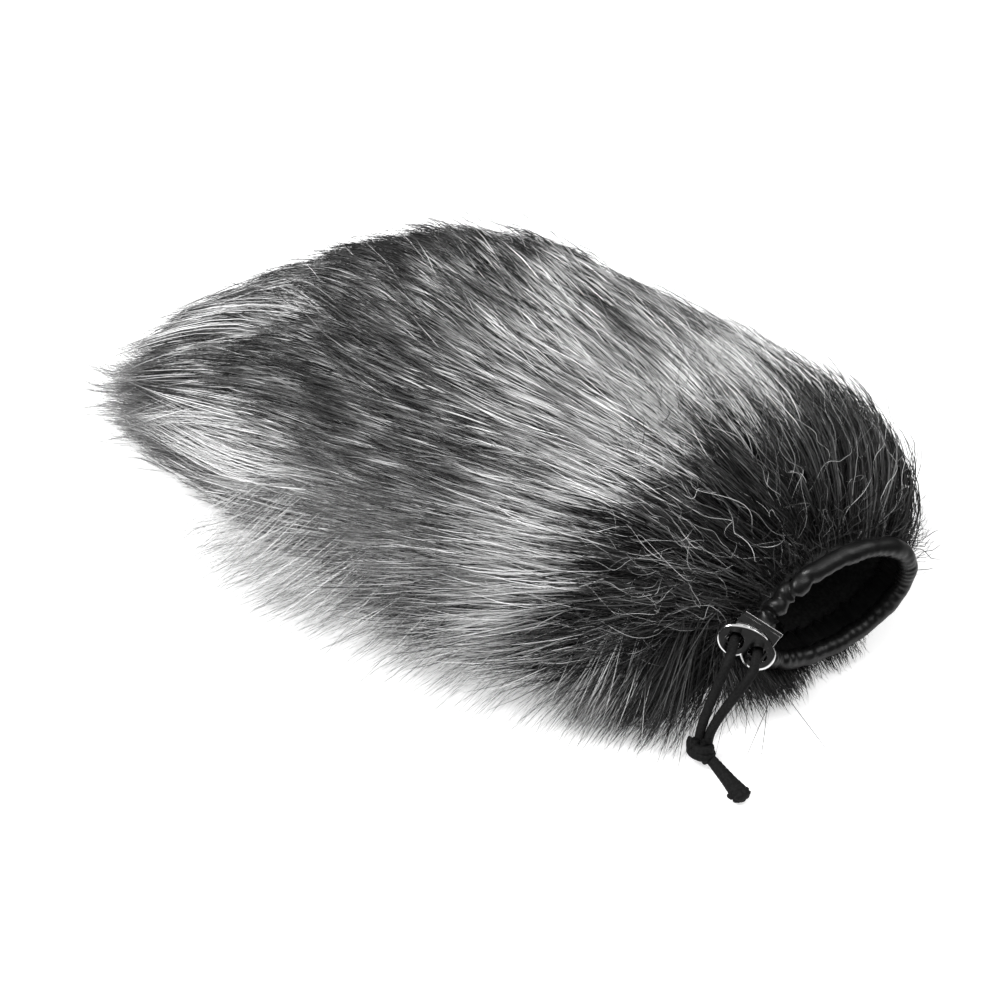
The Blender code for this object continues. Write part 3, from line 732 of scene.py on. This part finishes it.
def build_pile(count):
    """Guard hair over the whole bag, drawn into locks and lying towards the closed end."""
    distance, turn, root_share = random_roots(count, 0.0032, BACKING_END)
    total = len(distance)
    share = np.clip(1.0 - np.abs(RNG.normal(0.0, 0.16, total)), 0.45, 1.0)
    reach = RNG.normal(1.0, 0.12, total)
    reach = reach * (1.0 - RNG.uniform(0.0, 0.30, total) * smooth(distance, 0.175, 0.205))
    strands = grow(distance, turn, share, reach, RNG.normal(0.0, 0.0030, total), root_share)
    c_distance, c_turn, c_share = random_roots(3400, 0.0032, BACKING_END)
    centres = len(c_distance)
    c_reach = RNG.normal(1.03, 0.11 + 0.16 * smooth(c_distance, 0.15, 0.20), centres)
    c_strands = grow(c_distance, c_turn, np.clip(RNG.normal(0.94, 0.07, centres), 0.7, 1.05),
                     c_reach, RNG.normal(0.0, 0.0030, centres), c_share)
    keys = np.stack([distance, turn], axis=1)
    c_keys = np.stack([c_distance, c_turn], axis=1)
    strength = np.clip(RNG.normal(0.72, 0.16, total), 0.0, 0.95)
    strands, nearest = clump_to(strands, keys, c_keys, c_strands, strength)
    strands = splay(strands, distance, turn)
    strands = wavy(strands, 0.0010, 2.2, 0.0016)
    tip_distance = distance + hair_reach(distance) * reach
    noise = RNG.normal(0.0, 1.0, centres)[nearest]
    strands, tip_distance, turn, noise = trim(strands, 0.0040, tip_distance, turn, noise)
    level = pile_tones(tip_distance, turn, noise)
    bright = (3.6 + 2.2 * noise + RNG.normal(0.0, 2.5, len(level))
              + 2.4 * low_side(tip_distance, turn))
    bright = bright - 1.7 * dark_top(tip_distance, turn)
    shade = np.clip(bright, 0, 7)
    width = RNG.uniform(0.18, 0.42, len(level)) * MM
    shade = np.round(shade).astype(int)
    return in_pieces("fur_pile", strands, width, level, shade, "fur_guard_hair")


def build_underfur(count):
    """Short dark frizzy hair that fills the pile near the mouth and under the guard hair."""
    distance, turn, _ = random_roots(count, 0.0028, 0.075, 0.0)
    total = len(distance)
    root = backing_point(distance, turn)
    normal, tailward = backing_axes(distance, turn)
    length = np.interp(distance, (0.003, 0.02, 0.07), (0.013, 0.018, 0.018))[:, None]
    length = length * RNG.uniform(0.6, 1.2, (total, 1))
    aim = unit(normal + tailward * RNG.uniform(-0.1, 0.7, (total, 1))
               + RNG.normal(0.0, 0.28, (total, 3)))
    tip = root + aim * length
    strands = cubic(root, normal * length, tip, unit(aim + 0.5 * tailward) * length)
    (strands,) = trim(frizz(strands, 0.00060), 0.0050)
    return random_hair("fur_underfur", strands, DARK_LEVEL, (0.16, 0.26))


def build_chin(count):
    """Dark hair under the mouth, pushed forward by the bag's weight and lying on the table."""
    middle, out, across = mouth_axes()
    distance = RNG.uniform(0.0032, 0.014, count)
    turn = radians(272.0) + RNG.uniform(-1.0, 1.0, count) * radians(98.0)
    root = backing_point(distance, turn)
    normal, _ = backing_axes(distance, turn)
    sideways = (root - middle) @ across
    sideways = sideways * np.where(sideways < 0.0, RNG.uniform(1.0, 1.55, count),
                                   RNG.uniform(0.75, 1.02, count))
    ahead = RNG.uniform(-0.012, 0.0050, count) - 0.0030 * smooth(sideways, 0.010, 0.030)
    ahead = ahead + 0.0050 * smooth(-sideways, 0.004, 0.020)
    tip = middle + ahead[:, None] * out + sideways[:, None] * across
    rise = np.clip(np.abs(sideways) - 0.022, 0.0, 0.012) * RNG.uniform(0.0, 1.8, count)
    tip[:, 2] = RNG.uniform(0.0006, 0.0090, count) + rise
    span = np.linalg.norm(tip - root, axis=1, keepdims=True)
    fall = out * 0.5 - np.array((0.0, 0.0, 0.4))
    strands = frizz(cubic(root, normal * span, tip, fall * span), 0.00035)
    (strands,) = trim(strands, 0.0050)
    return random_hair("fur_chin", strands, DARK_LEVEL, (0.16, 0.26))


def build_apron(thick, thin):
    """Hair splayed out over the table on the low side: dense by the mouth, thin further back."""
    count = thick + thin
    dense = np.arange(count) < thick
    distance = np.where(dense, RNG.uniform(0.0032, 0.056, count), RNG.uniform(0.050, 0.180, count))
    turn = np.where(dense, RNG.normal(radians(196.0), radians(24.0), count),
                    RNG.normal(radians(202.0), radians(24.0), count))
    root = backing_point(distance, turn)
    normal, tailward = backing_axes(distance, turn)
    lean = np.interp(distance, (0.003, 0.030, 0.056, 0.180), (0.15, 0.55, 0.8, 1.9))[:, None]
    lean = lean + RNG.uniform(-0.35, 0.35, (count, 1)) * (distance < 0.03)[:, None]
    heading = normal + tailward * lean + RNG.normal(0.0, 0.16, (count, 3))
    heading[:, 2] = 0.0
    heading = unit(heading)
    length = np.where(dense, RNG.uniform(0.022, 0.046, count)
                      + 0.012 * RNG.uniform(0.0, 1.0, count) ** 8,
                      RNG.uniform(0.036, 0.068, count))
    length = length * (1.0 - 0.25 * smooth(distance, 0.120, 0.180))
    tip = root + heading * length[:, None]
    drop = RNG.uniform(0.0, 1.0, count) ** 1.6
    tip[:, 2] = 0.0007 + drop * np.where(dense, 0.016, 0.010)
    reach = length[:, None]
    start_pull = (0.9 * normal + 0.3 * tailward + np.array((0.0, 0.0, 0.35))) * reach
    end_pull = (heading - np.array((0.0, 0.0, 0.35))) * reach
    strands = wavy(cubic(root, start_pull, tip, end_pull), 0.0012, 1.7, 0.0012)
    strands, dense, distance = trim(strands, 0.0040, dense, distance)
    total = len(strands)
    edge = distance + RNG.normal(0.0, 0.004, total)
    near = np.where(edge < 0.038, DARK_LEVEL, np.where(edge < 0.046, 5, RNG.integers(0, 3, total)))
    level = np.where(dense, near, RNG.integers(0, 2, total)).astype(int)
    shade = np.where(dense, RNG.integers(0, 7, total), RNG.integers(3, TONE_SHADES, total))
    width = np.where(dense, RNG.uniform(0.16, 0.26, total), RNG.uniform(0.09, 0.16, total)) * MM
    return in_pieces("fur_apron", strands, width, level, shade, tip_width=0.15)


def build_strays(count):
    """Long pale kinky hairs that lie loose over the dark fur near the mouth."""
    distance, turn, _ = random_roots(count, 0.004, 0.060, 0.0)
    total = len(distance)
    share = RNG.uniform(0.94, 1.06, total)
    strands = grow(distance, turn, share, RNG.uniform(0.3, 1.0, total),
                   RNG.normal(0, 0.010, total), points=STRAY_POINTS)
    t = np.linspace(0.0, 1.0, STRAY_POINTS)[None, :, None]
    for waves, amount in ((1.3, 0.0032), (2.6, 0.0013), (4.4, 0.0005)):
        phase = RNG.uniform(0.0, 6.3, (total, 1, 3))
        size = RNG.uniform(0.2, 1.0, (total, 1, 1)) * amount
        strands = strands + size * np.sin(2 * pi * waves * t + phase) * np.minimum(1.0, 3.0 * t)
    (strands,) = trim(above(strands, 0.0005), 0.0050)
    return random_hair("fur_stray", strands, WHITE_LEVEL, (0.08, 0.14), "fur_stray_hair")


def build_flyaways(count):
    """Single hairs and small tufts that stand off the surface."""
    distance, turn, _ = random_roots(count, 0.010, BACKING_END, 0.0)
    total = len(distance)
    share = RNG.uniform(1.00, 1.09, total)
    strands = grow(distance, turn, share, RNG.uniform(0.6, 1.1, total), RNG.normal(0, 0.004, total))
    normal, _ = backing_axes(distance, turn)
    lift = RNG.uniform(0.0, 0.006, (total, 1, 1))
    strands = above(strands + normal[:, None] * lift * ALONG ** 2.5, 0.0005)
    strands, distance = trim(strands, 0.0050, distance)
    level = np.where(distance < 0.030, DARK_LEVEL, RNG.integers(1, 4, len(strands)))
    return random_hair("fur_flyaways", strands, level, (0.12, 0.20))


def drawn_in(strands):
    """Strands that would pass the tail's limit, shortened unevenly to stay within it."""
    root = strands[:, :1]
    run = strands[..., 0].min(axis=1) - root[:, 0, 0]
    room = FUR_LOW[0] + 0.0004 - root[:, 0, 0]
    share = np.where(run < room, room / np.minimum(run, -0.001), 1.0)
    share = np.where(share < 1.0, share * RNG.uniform(0.80, 1.0, len(strands)), 1.0)
    return root + (strands - root) * share[:, None, None]


def build_wisps(count):
    """Sparse long wisps that trail past the closed end."""
    distance = RNG.uniform(0.165, 0.2045, count)
    turn = RNG.uniform(radians(-20.0), radians(235.0), count)
    groups = np.arange(count) // 9
    share = RNG.uniform(0.45, 1.0, groups[-1] + 1)[groups]
    scale = RNG.uniform(1.20, 2.15, groups[-1] + 1)[groups] * RNG.uniform(0.93, 1.07, count)
    turn = turn[::9][groups] + RNG.normal(0.0, 0.05, count)
    distance = distance[::9][groups] + RNG.normal(0.0, 0.0015, count)
    strands = grow(np.minimum(distance, 0.2048), turn, share, scale, RNG.normal(0.0, 0.0018, count))
    fray = RNG.normal(0.0, 1.0, (groups[-1] + 1, 3))[groups] * (0.0, 0.0085, 0.0055)
    strands = above(strands + fray[:, None] * ALONG ** 2, RNG.uniform(0.0005, 0.003, (count, 1)))
    (strands,) = trim(drawn_in(strands), 0.0050)
    level = (RNG.uniform(size=len(strands)) < 0.25).astype(int)
    return random_hair("fur_wisps", strands, level, (0.13, 0.24), first_shade=4, tip_width=0.12)


# ---------------------------------------------------------------- hem, lining, cord

# Gathers round the hem: where (degrees), how deep, how wide and how slanted
CREASES = (
    (118.0, 0.45, 1.2, 0.5), (129.0, 1.15, 0.9, -0.8), (140.0, 0.75, 1.1, 0.9),
    (152.0, 1.35, 0.9, 0.5), (163.0, 1.05, 0.8, -0.6), (170.0, 0.70, 0.8, 0.4),
    (192.0, 0.60, 0.8, 0.5), (201.0, 0.85, 0.7, -0.4), (211.0, 0.60, 0.9, 0.6),
    (224.0, 0.45, 0.9, -0.5), (247.0, 0.22, 1.5, 0.4), (283.0, 0.16, 1.8, -0.4),
    (318.0, 0.15, 1.6, 0.5), (12.0, 0.12, 1.8, 0.3), (61.0, 0.14, 2.0, -0.3),
    (92.0, 0.22, 1.6, 0.4),
)


def crease_depth(turn, section):
    """Height of the leather's gathers round the hem, in metres."""
    total = np.zeros(np.broadcast(turn, section).shape)
    for degrees, strength, width, slant in CREASES:
        away = (turn - radians(degrees) + pi) % (2 * pi) - pi
        away = (away * 0.026 + slant * 0.0016 * np.sin(section)
                + 0.0005 * np.sin(2.0 * section + degrees))
        total = total - strength * 0.00095 * np.exp(-(away / (0.0011 * width)) ** 2)
        total = total + strength * 0.00030 * np.exp(-((np.abs(away) - 0.0032) / 0.0020) ** 2)
    inner = 0.5 - 0.5 * np.cos(section)
    fine = 0.00016 * np.sin(turn * 53.0 + 3.0 * np.sin(turn * 5.0)) * inner ** 2
    slow = 0.00012 * np.sin(turn * 9.0 + 1.0) + 0.00009 * np.sin(turn * 17.0 + section)
    return total + fine + slow - 0.00018


def at_mouth(ahead, sideways, height):
    """Points given from the middle of the mouth: out of it, across it and up."""
    middle, out, across = mouth_axes()
    ahead, sideways, height = (np.asarray(v)[..., None] for v in (ahead, sideways, height))
    return middle + ahead * out + sideways * across + height * np.array((0.0, 0.0, 1.0))


def build_hem():
    """Leatherette tube round the mouth, gathered on the lock's side, and its inner skirt."""
    look = leather_material()
    turn = np.linspace(0.0, 2.0 * pi, 560, endpoint=False)[:, None]
    section = np.linspace(0.0, 2.0 * pi, 40, endpoint=False)[None]
    ny, nz = HEM_HALF_HEIGHT * np.cos(turn), HEM_HALF_WIDTH * np.sin(turn)
    size = np.hypot(ny, nz)
    radius = LEATHER_RADIUS + crease_depth(turn, section)
    outwards, forwards = radius * np.cos(section), radius * np.sin(section)
    y = HEM_HALF_WIDTH * np.cos(turn) + ny / size * outwards
    z = HEM_HALF_HEIGHT * np.sin(turn) + nz / size * outwards
    tube = grid_mesh("hem_leather", at_mouth(forwards, y, z), look, ring=True)
    attach(tube, "windscreen", "hem", "hem_binding")
    attach(build_skirt(look), "windscreen", "hem")


def build_skirt(look):
    """Turned-in edge of the leatherette inside the mouth, with a wavy raw edge."""
    turn = np.linspace(0.0, 2.0 * pi, 420, endpoint=False)[:, None]
    depth = np.linspace(0.0, 1.0, 12)[None]
    wave = 0.0007 * np.sin(turn * 46.0) + 0.0006 * np.sin(turn * 29.0 + 1.0)
    back = -0.0015 - depth * (0.0078 + wave)
    inset = 0.0012 + 0.00035 * np.sin(turn * 46.0) * depth
    outer, inner = (at_mouth(back, (HEM_HALF_WIDTH - (inset + side)) * np.cos(turn),
                             (HEM_HALF_HEIGHT - (inset + side)) * np.sin(turn))
                    for side in (0.0, 0.0007))
    return grid_mesh("hem_skirt", np.concatenate([outer, inner[:, ::-1]], axis=1), look, ring=True)


def build_lining():
    """Knitted backing as one closed shell: ribbed loops inside, plain outside."""
    look = thread_material("knit_black", (900.0, 3.0), ((0.35, 0.004), (0.75, 0.020)),
                           (0.5, 0.0002), Roughness=0.9)
    distance = np.concatenate([np.arange(0.0030, 0.045, 0.00045), np.arange(0.045, 0.168, 0.003),
                               np.linspace(0.168, BACKING_END, 16)])
    turn = np.linspace(0.0, 2.0 * pi, 360, endpoint=False)
    distance, turn = np.meshgrid(distance, turn, indexing="ij")
    normal, _ = backing_axes(distance, turn)
    wale = turn / (2 * pi) * 110.0
    row = distance / 0.0014 + np.abs(wale % 1 - 0.5)
    loops = np.abs(np.sin(pi * wale)) * (0.6 + 0.4 * np.cos(2 * pi * row))
    fade = np.clip((0.045 - distance) / 0.01, 0.0, 1.0)
    middle = backing_point(distance, turn)
    inner = middle - normal * (BACKING_HALF + 0.00028 * loops * fade)[..., None]
    outer = middle + normal * BACKING_HALF
    shell = grid_mesh("knit_lining", np.concatenate([outer[::-1], inner], axis=0), look)
    rebuild(shell.data, fill_holes=True)
    shell.data.shade_smooth()
    attach(shell, "windscreen", "backing", "backing_upper", "backing_lower")


def build_cords(look):
    """Each half of the drawcord: round the hem, out through the lock and down to the knot."""
    out = np.array(LOCK_OUT)
    knot_top = np.array(KNOT_CENTRE) + np.array((0.0, 0.0016, 0.0028))
    for side, sign in (("left", -1), ("right", 1)):
        turns = [-sign * radians(161.0) * k / 40.0 for k in range(41)]
        around = [at_mouth(0.0, HEM_HALF_WIDTH * cos(a), HEM_HALF_HEIGHT * sin(a)) for a in turns]
        hem = around.pop()
        back = np.array(lock_point(sign * HOLE_OFFSET, 0.0, LOCK_BACK - 0.0004))
        enter = cubic(hem, unit(hem - around[-1]) * 0.012, back, out * 0.012, 25)
        tip = np.array(lock_point(sign * HOLE_OFFSET, 0.0, CORD_FRONT))
        straight = [back + (tip - back) * k / 20.0 for k in range(1, 20)]
        end = knot_top + sign * np.array((0.0014, 0.0, 0.0))
        drop = cubic(tip, out * 0.030, end, (0.0, 0.0, -0.030), 41)
        cord = braided("drawcord_" + side, [*around, *enter, *straight, *drop],
                       CORD_RADIUS - 0.00004, look)
        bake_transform(cord)
        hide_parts("elastic_cord", "cord_tail_" + side)


def ring_path(centre, axis, radius_a, radius_b, start, end, rise):
    """Arc of an ellipse round an axis, rising along it."""
    axis = unit(np.array(axis, float))
    side = unit(np.cross(axis, (0.3, 1.0, 0.2)))
    up = np.cross(axis, side)
    turns = np.linspace(start, end, 60)
    climb = np.linspace(-rise, rise, 60)
    return [centre + radius_a * cos(a) * side + radius_b * sin(a) * up + c * axis
            for a, c in zip(turns, climb)]


def build_knot(look):
    """Overhand knot: a doubled collar loop, a lobe that crosses it, and the core between them."""
    centre = np.array(KNOT_CENTRE)
    upright = (0.10, 0.35, 0.93)
    # name, offset of the centre, axis, two radii, first turn, turns in pi, rise
    loops = (
        ("knot_collar", (0, 0, -0.0006), upright, 0.0031, 0.0027, 0.3, 2.15, 0.0007),
        ("knot_collar_inner", (0, 0.0004, 0.0013), upright, 0.0024, 0.0022, 1.2, 2.0, 0.0005),
        ("knot_lobe", (-0.0012, 0.0010, 0.0008), (0.75, -0.55, 0.35), 0.0026, 0.0024,
         0.2, 1.9, 0.0009),
    )
    for name, offset, axis, radius_a, radius_b, start, turns, rise in loops:
        path = ring_path(centre + offset, axis, radius_a, radius_b, start, start + turns * pi, rise)
        loop = braided(name, path, CORD_RADIUS * 0.98, look)
        attach(loop, "cord_tails", "cord", *(("cord_knot",) if name == "knot_collar" else ()))
    path = cubic(centre + (0.0, 0.0020, 0.0038), (0.0, -0.003, -0.008),
                 centre + (0.0028, -0.0022, -0.0016), (0.006, -0.005, -0.001), 31)
    attach(braided("knot_core", path, 0.0017, look), "cord_tails", "cord")


def build_cord_end(look):
    """Fused pair of cord ends: flared, with a lumpy melted face and a small bead beside it."""
    low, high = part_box("cord_end")
    start = np.array((low[0], high[1], 0.0036))
    end = np.array((high[0] - 0.0008, low[1] + 0.0008, 0.0031))
    along = unit(end - start)
    length = np.linalg.norm(end - start) + 0.0035
    origin = start - along * 0.0030
    path = [origin + along * (length * k / 60.0) for k in range(61)]
    flare = lambda d: np.interp(d / length, (0.0, 0.25, 0.6, 0.88, 0.95, 0.985, 1.0),
                                np.array((1.55, 1.70, 2.05, 2.65, 2.60, 2.15, 0.9)) * MM)
    flat = lambda d: np.interp(d / length, (0.0, 0.5, 1.0), (1.0, 1.10, 1.12))
    tail = braided("cord_end_fused", path, flare, look, sides=36, spacing=0.00016,
                   relief=0.00011, flat=flat)
    mesh = tail.data
    points = np.empty(len(mesh.vertices) * 3)
    mesh.vertices.foreach_get("co", points)
    points = points.reshape(-1, 3)
    travel = (points - origin) @ along / length
    melt = np.clip((travel - 0.80) / 0.12, 0.0, 1.0)[:, None]
    lumps = np.sin(points @ np.array((2100.0, 1700.0, 2600.0)))[:, None]
    lumps = lumps + np.sin(points @ np.array((-3100.0, 2500.0, 1300.0)))[:, None]
    middle = origin + along * (travel * length)[:, None]
    points = points + unit(points - middle) * melt * lumps * 0.00016
    mesh.vertices.foreach_set("co", points.ravel())
    mesh.update()
    attach(tail, "cord_tails", "cord", "cord_end")
    build_bead(look, along)


def build_bead(look, along):
    """Small lumpy bead of melted cord beside the fused end."""
    work = bmesh.new()
    bmesh.ops.create_icosphere(work, subdivisions=4, radius=0.0012)
    for vertex in work.verts:
        place_in = vertex.co * 2300.0
        vertex.co *= 1.0 + 0.16 * sin(place_in.x + 2.0 * sin(place_in.y)) * cos(place_in.z)
    mesh = bpy.data.meshes.new("bead_melted")
    work.to_mesh(mesh)
    work.free()
    bead = link_mesh("bead_melted", mesh, look)
    bead.location = centre_of("melted_bead") - 0.0012 * Vector((along[1], -along[0], 0.0))
    attach(bead, "cord_tails", "cord", "melted_bead")


# ---------------------------------------------------------------- cord lock

def lock_outline(inset):
    """Two round lobes under an arched top, drawn inwards by an inset."""
    lobe = LOBE_RADIUS - inset
    cleft = -pi + float(np.arccos(HOLE_OFFSET / lobe))
    right = [(HOLE_OFFSET + lobe * cos(a), lobe * sin(a))
             for a in np.linspace(cleft, radians(38.0), 40)]
    edge_x, edge_y = right[-1]
    rise = (BODY_TOP - inset) - edge_y
    arch = [(x, edge_y + rise * (1.0 - (x / edge_x) ** 2))
            for x in np.linspace(edge_x, -edge_x, 30)[1:-1]]
    left = [(-x, y) for x, y in reversed(right)]
    return right + arch + left[:-1]


def prism(name, layers, look):
    """Loft of flat outlines at given depths, in the lock's axes, as a placed mesh object."""
    grid = np.array([[(x, y, depth) for x, y in outline] for depth, outline in layers])
    obj = grid_mesh(name, grid, look, cap=True)
    obj.data.transform(LOCK)
    return obj


def cylinder(name, x, y, radius, low, high):
    """Round cutter along the lock's depth."""
    turns = np.linspace(0.0, 2.0 * pi, 72, endpoint=False)
    outline = [(x + radius * cos(a), y + radius * sin(a)) for a in turns]
    return prism(name, ((low, outline), (high, outline)), None)


def block(name, low, high, look=None):
    """Rectangular block in the lock's axes."""
    outline = [(low[0], low[1]), (high[0], low[1]), (high[0], high[1]), (low[0], high[1])]
    return prism(name, ((low[2], outline), (high[2], outline)), look)


def cut(obj, tool, operation="DIFFERENCE"):
    """Boolean with a tool that is then removed."""
    step = obj.modifiers.new(operation, "BOOLEAN")
    step.operation = operation
    step.solver = "EXACT"
    step.object = tool
    freeze(obj)
    bpy.data.objects.remove(tool, do_unlink=True)


def freeze(obj):
    """Turn the modified shape into the object's own mesh."""
    graph = bpy.context.evaluated_depsgraph_get()
    made = bpy.data.meshes.new_from_object(obj.evaluated_get(graph))
    obj.modifiers.clear()
    obj.data = made


def soften(obj, width, segments=3):
    """Rounded edges, with smooth shading between the sharp ones."""
    obj.data.shade_smooth()
    obj.data.set_sharp_from_angle(angle=radians(28.0))
    step = obj.modifiers.new("soften", "BEVEL")
    step.width = width
    step.segments = segments
    step.limit_method = "ANGLE"
    step.angle_limit = radians(30.0)
    step.harden_normals = True
    freeze(obj)


def build_lock():
    """Chrome lock body with rounded lobes, its sprung plunger and press plate."""
    look = chrome_material("polished_chrome", 0.05)
    back, front = LOCK_BACK, LOCK_BACK + LOCK_THICKNESS
    bevel = 0.0010
    layers = [(back, lock_outline(0.0005)), (back + 0.0005, lock_outline(0.0))]
    for k in range(7):
        a = pi / 2.0 * k / 6.0
        layers.append((front - bevel + bevel * sin(a), lock_outline(bevel * (1.0 - cos(a)))))
    layers.append((front, lock_outline(bevel + 0.00015)))
    body = prism("lock_body_chrome", layers, look)
    half = 0.0018
    cut(body, block("pocket", (-0.0069, POCKET_FLOOR, LOCK_MIDDLE - half),
                    (0.0069, 0.0200, LOCK_MIDDLE + half)))
    for sign in (-1, 1):
        cut(body, cylinder("hole", sign * HOLE_OFFSET, 0.0, HOLE_RADIUS,
                           back - 0.002, front + 0.002))
    soften(body, 0.00022)
    attach(body, "cord_lock", "lock", "lock_body")
    slab = block("plunger_frame", (-0.0066, -0.0025, LOCK_MIDDLE - 0.0015),
                 (0.0066, PLATE_BOTTOM + 0.0005, LOCK_MIDDLE + 0.0015), look)
    cut(slab, block("window", (-0.0058, -0.0018, LOCK_MIDDLE - 0.004),
                    (0.0058, 0.0046, LOCK_MIDDLE + 0.004)))
    plate = block("plate", (-0.0064, PLATE_BOTTOM, LOCK_MIDDLE - 0.0033),
                  (0.0064, PLATE_BOTTOM + 0.0012, LOCK_MIDDLE + 0.0033), look)
    cut(slab, plate, "UNION")
    slab.name = "plunger_chrome"
    soften(slab, 0.00036, 4)
    attach(slab, "press_plate", "lock", "lock_plunger")
    build_spring()


def build_spring():
    """Fine coil spring inside the lock."""
    steel = chrome_material("spring_steel", 0.22)
    low, high, turns = 0.0005, 0.0041, 4.5
    path = []
    for k in range(241):
        a = 2.0 * pi * turns * k / 240.0
        path.append(tuple(lock_point(0.0009 * cos(a), low + (high - low) * k / 240.0,
                                     LOCK_MIDDLE + 0.0009 * sin(a))))
    points, _ = resample(path, 0.00012)
    side, up = path_frames(points)
    turn = np.linspace(0.0, 2.0 * pi, 10, endpoint=False)
    ring = np.cos(turn)[None, :, None] * side[:, None] + np.sin(turn)[None, :, None] * up[:, None]
    spring = grid_mesh("spring_coil", points[:, None] + ring * 0.0002, steel, cap=True)
    attach(spring, "cord_lock", "spring", "lock_spring")
    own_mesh(spring)


# ---------------------------------------------------------------- floor, light, camera

def build_stage():
    """Plain white floor that meets a white surround; glossy rays find it nearly black beyond about
    0.2 m out, a painted dark reflection.
    """
    work = bmesh.new()
    bmesh.ops.create_grid(work, x_segments=1, y_segments=1, size=6.0)
    mesh = bpy.data.meshes.new("floor")
    work.to_mesh(mesh)
    work.free()
    made, graph, shader = new_material("floor_white")
    path = graph.add("LightPath").outputs
    position = graph.add("TexCoord").outputs["Object"]
    reach = graph.add("VectorMath", {0: position}, operation="LENGTH").outputs["Value"]
    # Painted dark reflection: from 0.14 to 0.26 m out from the middle onwards, glossy rays see the
    # floor's colour scaled almost to black.
    beyond = graph.math("MULTIPLY", graph.smooth_step(reach, 0.14, 0.26), path["Is Glossy Ray"])
    tone = graph.ramp(graph.noise(3.0, 2.0), ((0.0, 0.90), (1.0, 0.92)))
    inputs = {0: tone, "Scale": graph.math("MULTIPLY_ADD", beyond, -0.985, 1.0)}
    pale = graph.add("VectorMath", operation="SCALE")
    graph.feed(pale, inputs)
    graph.feed(shader, {
        "Base Color": pale.outputs["Vector"], "Roughness": 0.9, GLOSS: 0.1,
        "Emission Color": (1.0, 1.0, 1.0, 1.0),
        "Emission Strength": graph.math("MULTIPLY", path["Is Camera Ray"], 0.42)})
    link_mesh("floor", mesh, made)


def area_light(name, place_at, aim, size, power):
    """Soft rectangular light."""
    data = bpy.data.lights.new(name, "AREA")
    data.shape = "RECTANGLE"
    data.size, data.size_y = size
    data.energy = power
    obj = add_object(name, data)
    obj.location = place_at
    obj.rotation_euler = (Vector(aim) - Vector(place_at)).to_track_quat("-Z", "Y").to_euler()


def build_world():
    """White surround; in reflections it is dark but for a wide soft box overhead."""
    world = bpy.data.worlds.new("studio")
    world.use_nodes = True
    graph = Graph(world.node_tree)
    path = graph.add("LightPath").outputs
    split = graph.add("SeparateXYZ", {0: graph.add("TexCoord").outputs["Generated"]})
    overhead = graph.smooth_step(split.outputs[2], 0.60, 0.85)
    reflected = graph.math("MULTIPLY_ADD", overhead, 0.75, 0.03)
    lit = graph.math("MULTIPLY_ADD", path["Is Camera Ray"], 0.3, 0.75)
    change = graph.math("SUBTRACT", reflected, lit)
    strength = graph.math("MULTIPLY_ADD", path["Is Glossy Ray"], change, lit)
    graph.feed(world.node_tree.nodes["Background"],
               {"Color": (1.0, 1.0, 1.0, 1.0), "Strength": strength})
    bpy.context.scene.world = world


def build_light():
    """Even surround with two soft boxes, for a high-key picture."""
    build_world()
    bpy.context.scene.view_settings.view_transform = "Standard"
    area_light("key", (-0.6, -0.5, 1.2), (0.0, 0.0, 0.03), (0.7, 0.7), 20.0)
    area_light("fill", (0.9, 0.5, 1.1), (0.0, 0.0, 0.03), (1.0, 1.0), 7.0)


CAMERA_AZIMUTH = radians(22.7)
CAMERA_HEIGHT_ANGLE = radians(42.0)
CAMERA_DISTANCE = 0.65
CAMERA_AIM = Vector((0.0192, -0.0204, 0.0324))
CAMERA_LENS = 73.3


def build_camera():
    """Camera above the near side, looking down on the bag with its mouth at the lower right."""
    data = bpy.data.cameras.new("camera")
    data.lens = CAMERA_LENS
    obj = add_object("camera", data)
    back = Vector((sin(CAMERA_AZIMUTH) * cos(CAMERA_HEIGHT_ANGLE),
                   -cos(CAMERA_AZIMUTH) * cos(CAMERA_HEIGHT_ANGLE), sin(CAMERA_HEIGHT_ANGLE)))
    obj.location = CAMERA_AIM + back * CAMERA_DISTANCE
    obj.rotation_euler = (-back).to_track_quat("-Z", "Y").to_euler()
    bpy.context.scene.camera = obj


def build_fur():
    """All the fur, which stands for both pile panels."""
    pieces = build_pile(72000) + build_underfur(15000) + build_chin(7000) + build_flyaways(1300)
    pieces += build_apron(7500, 2600) + build_strays(1100) + build_wisps(3200)
    for piece in pieces:
        attach(piece, "windscreen", "pile")
    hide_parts("pile_upper", "pile_lower")


def finish_threads():
    """Sewing threads keep their CAD shape and get a thread finish."""
    look = thread_material("sewing_thread", (2500.0, 2.0), ((0.3, 0.012), (0.7, 0.05)),
                           Roughness=0.55)
    for name in ("seam_thread", "hem_stitch"):
        node = frame["nodes"][name]
        node.material_slots[0].material = look
        node.data.shade_smooth()


build_fur()
build_lining()
build_hem()
cord_look = thread_material("braided_elastic", (1400.0, 4.0), ((0.3, 0.003), (0.7, 0.010)),
                            (0.4, 0.0001), Roughness=0.75, **{GLOSS: 0.16})
build_cords(cord_look)
build_knot(cord_look)
build_cord_end(cord_look)
build_lock()
finish_threads()
build_stage()
build_light()
build_camera()
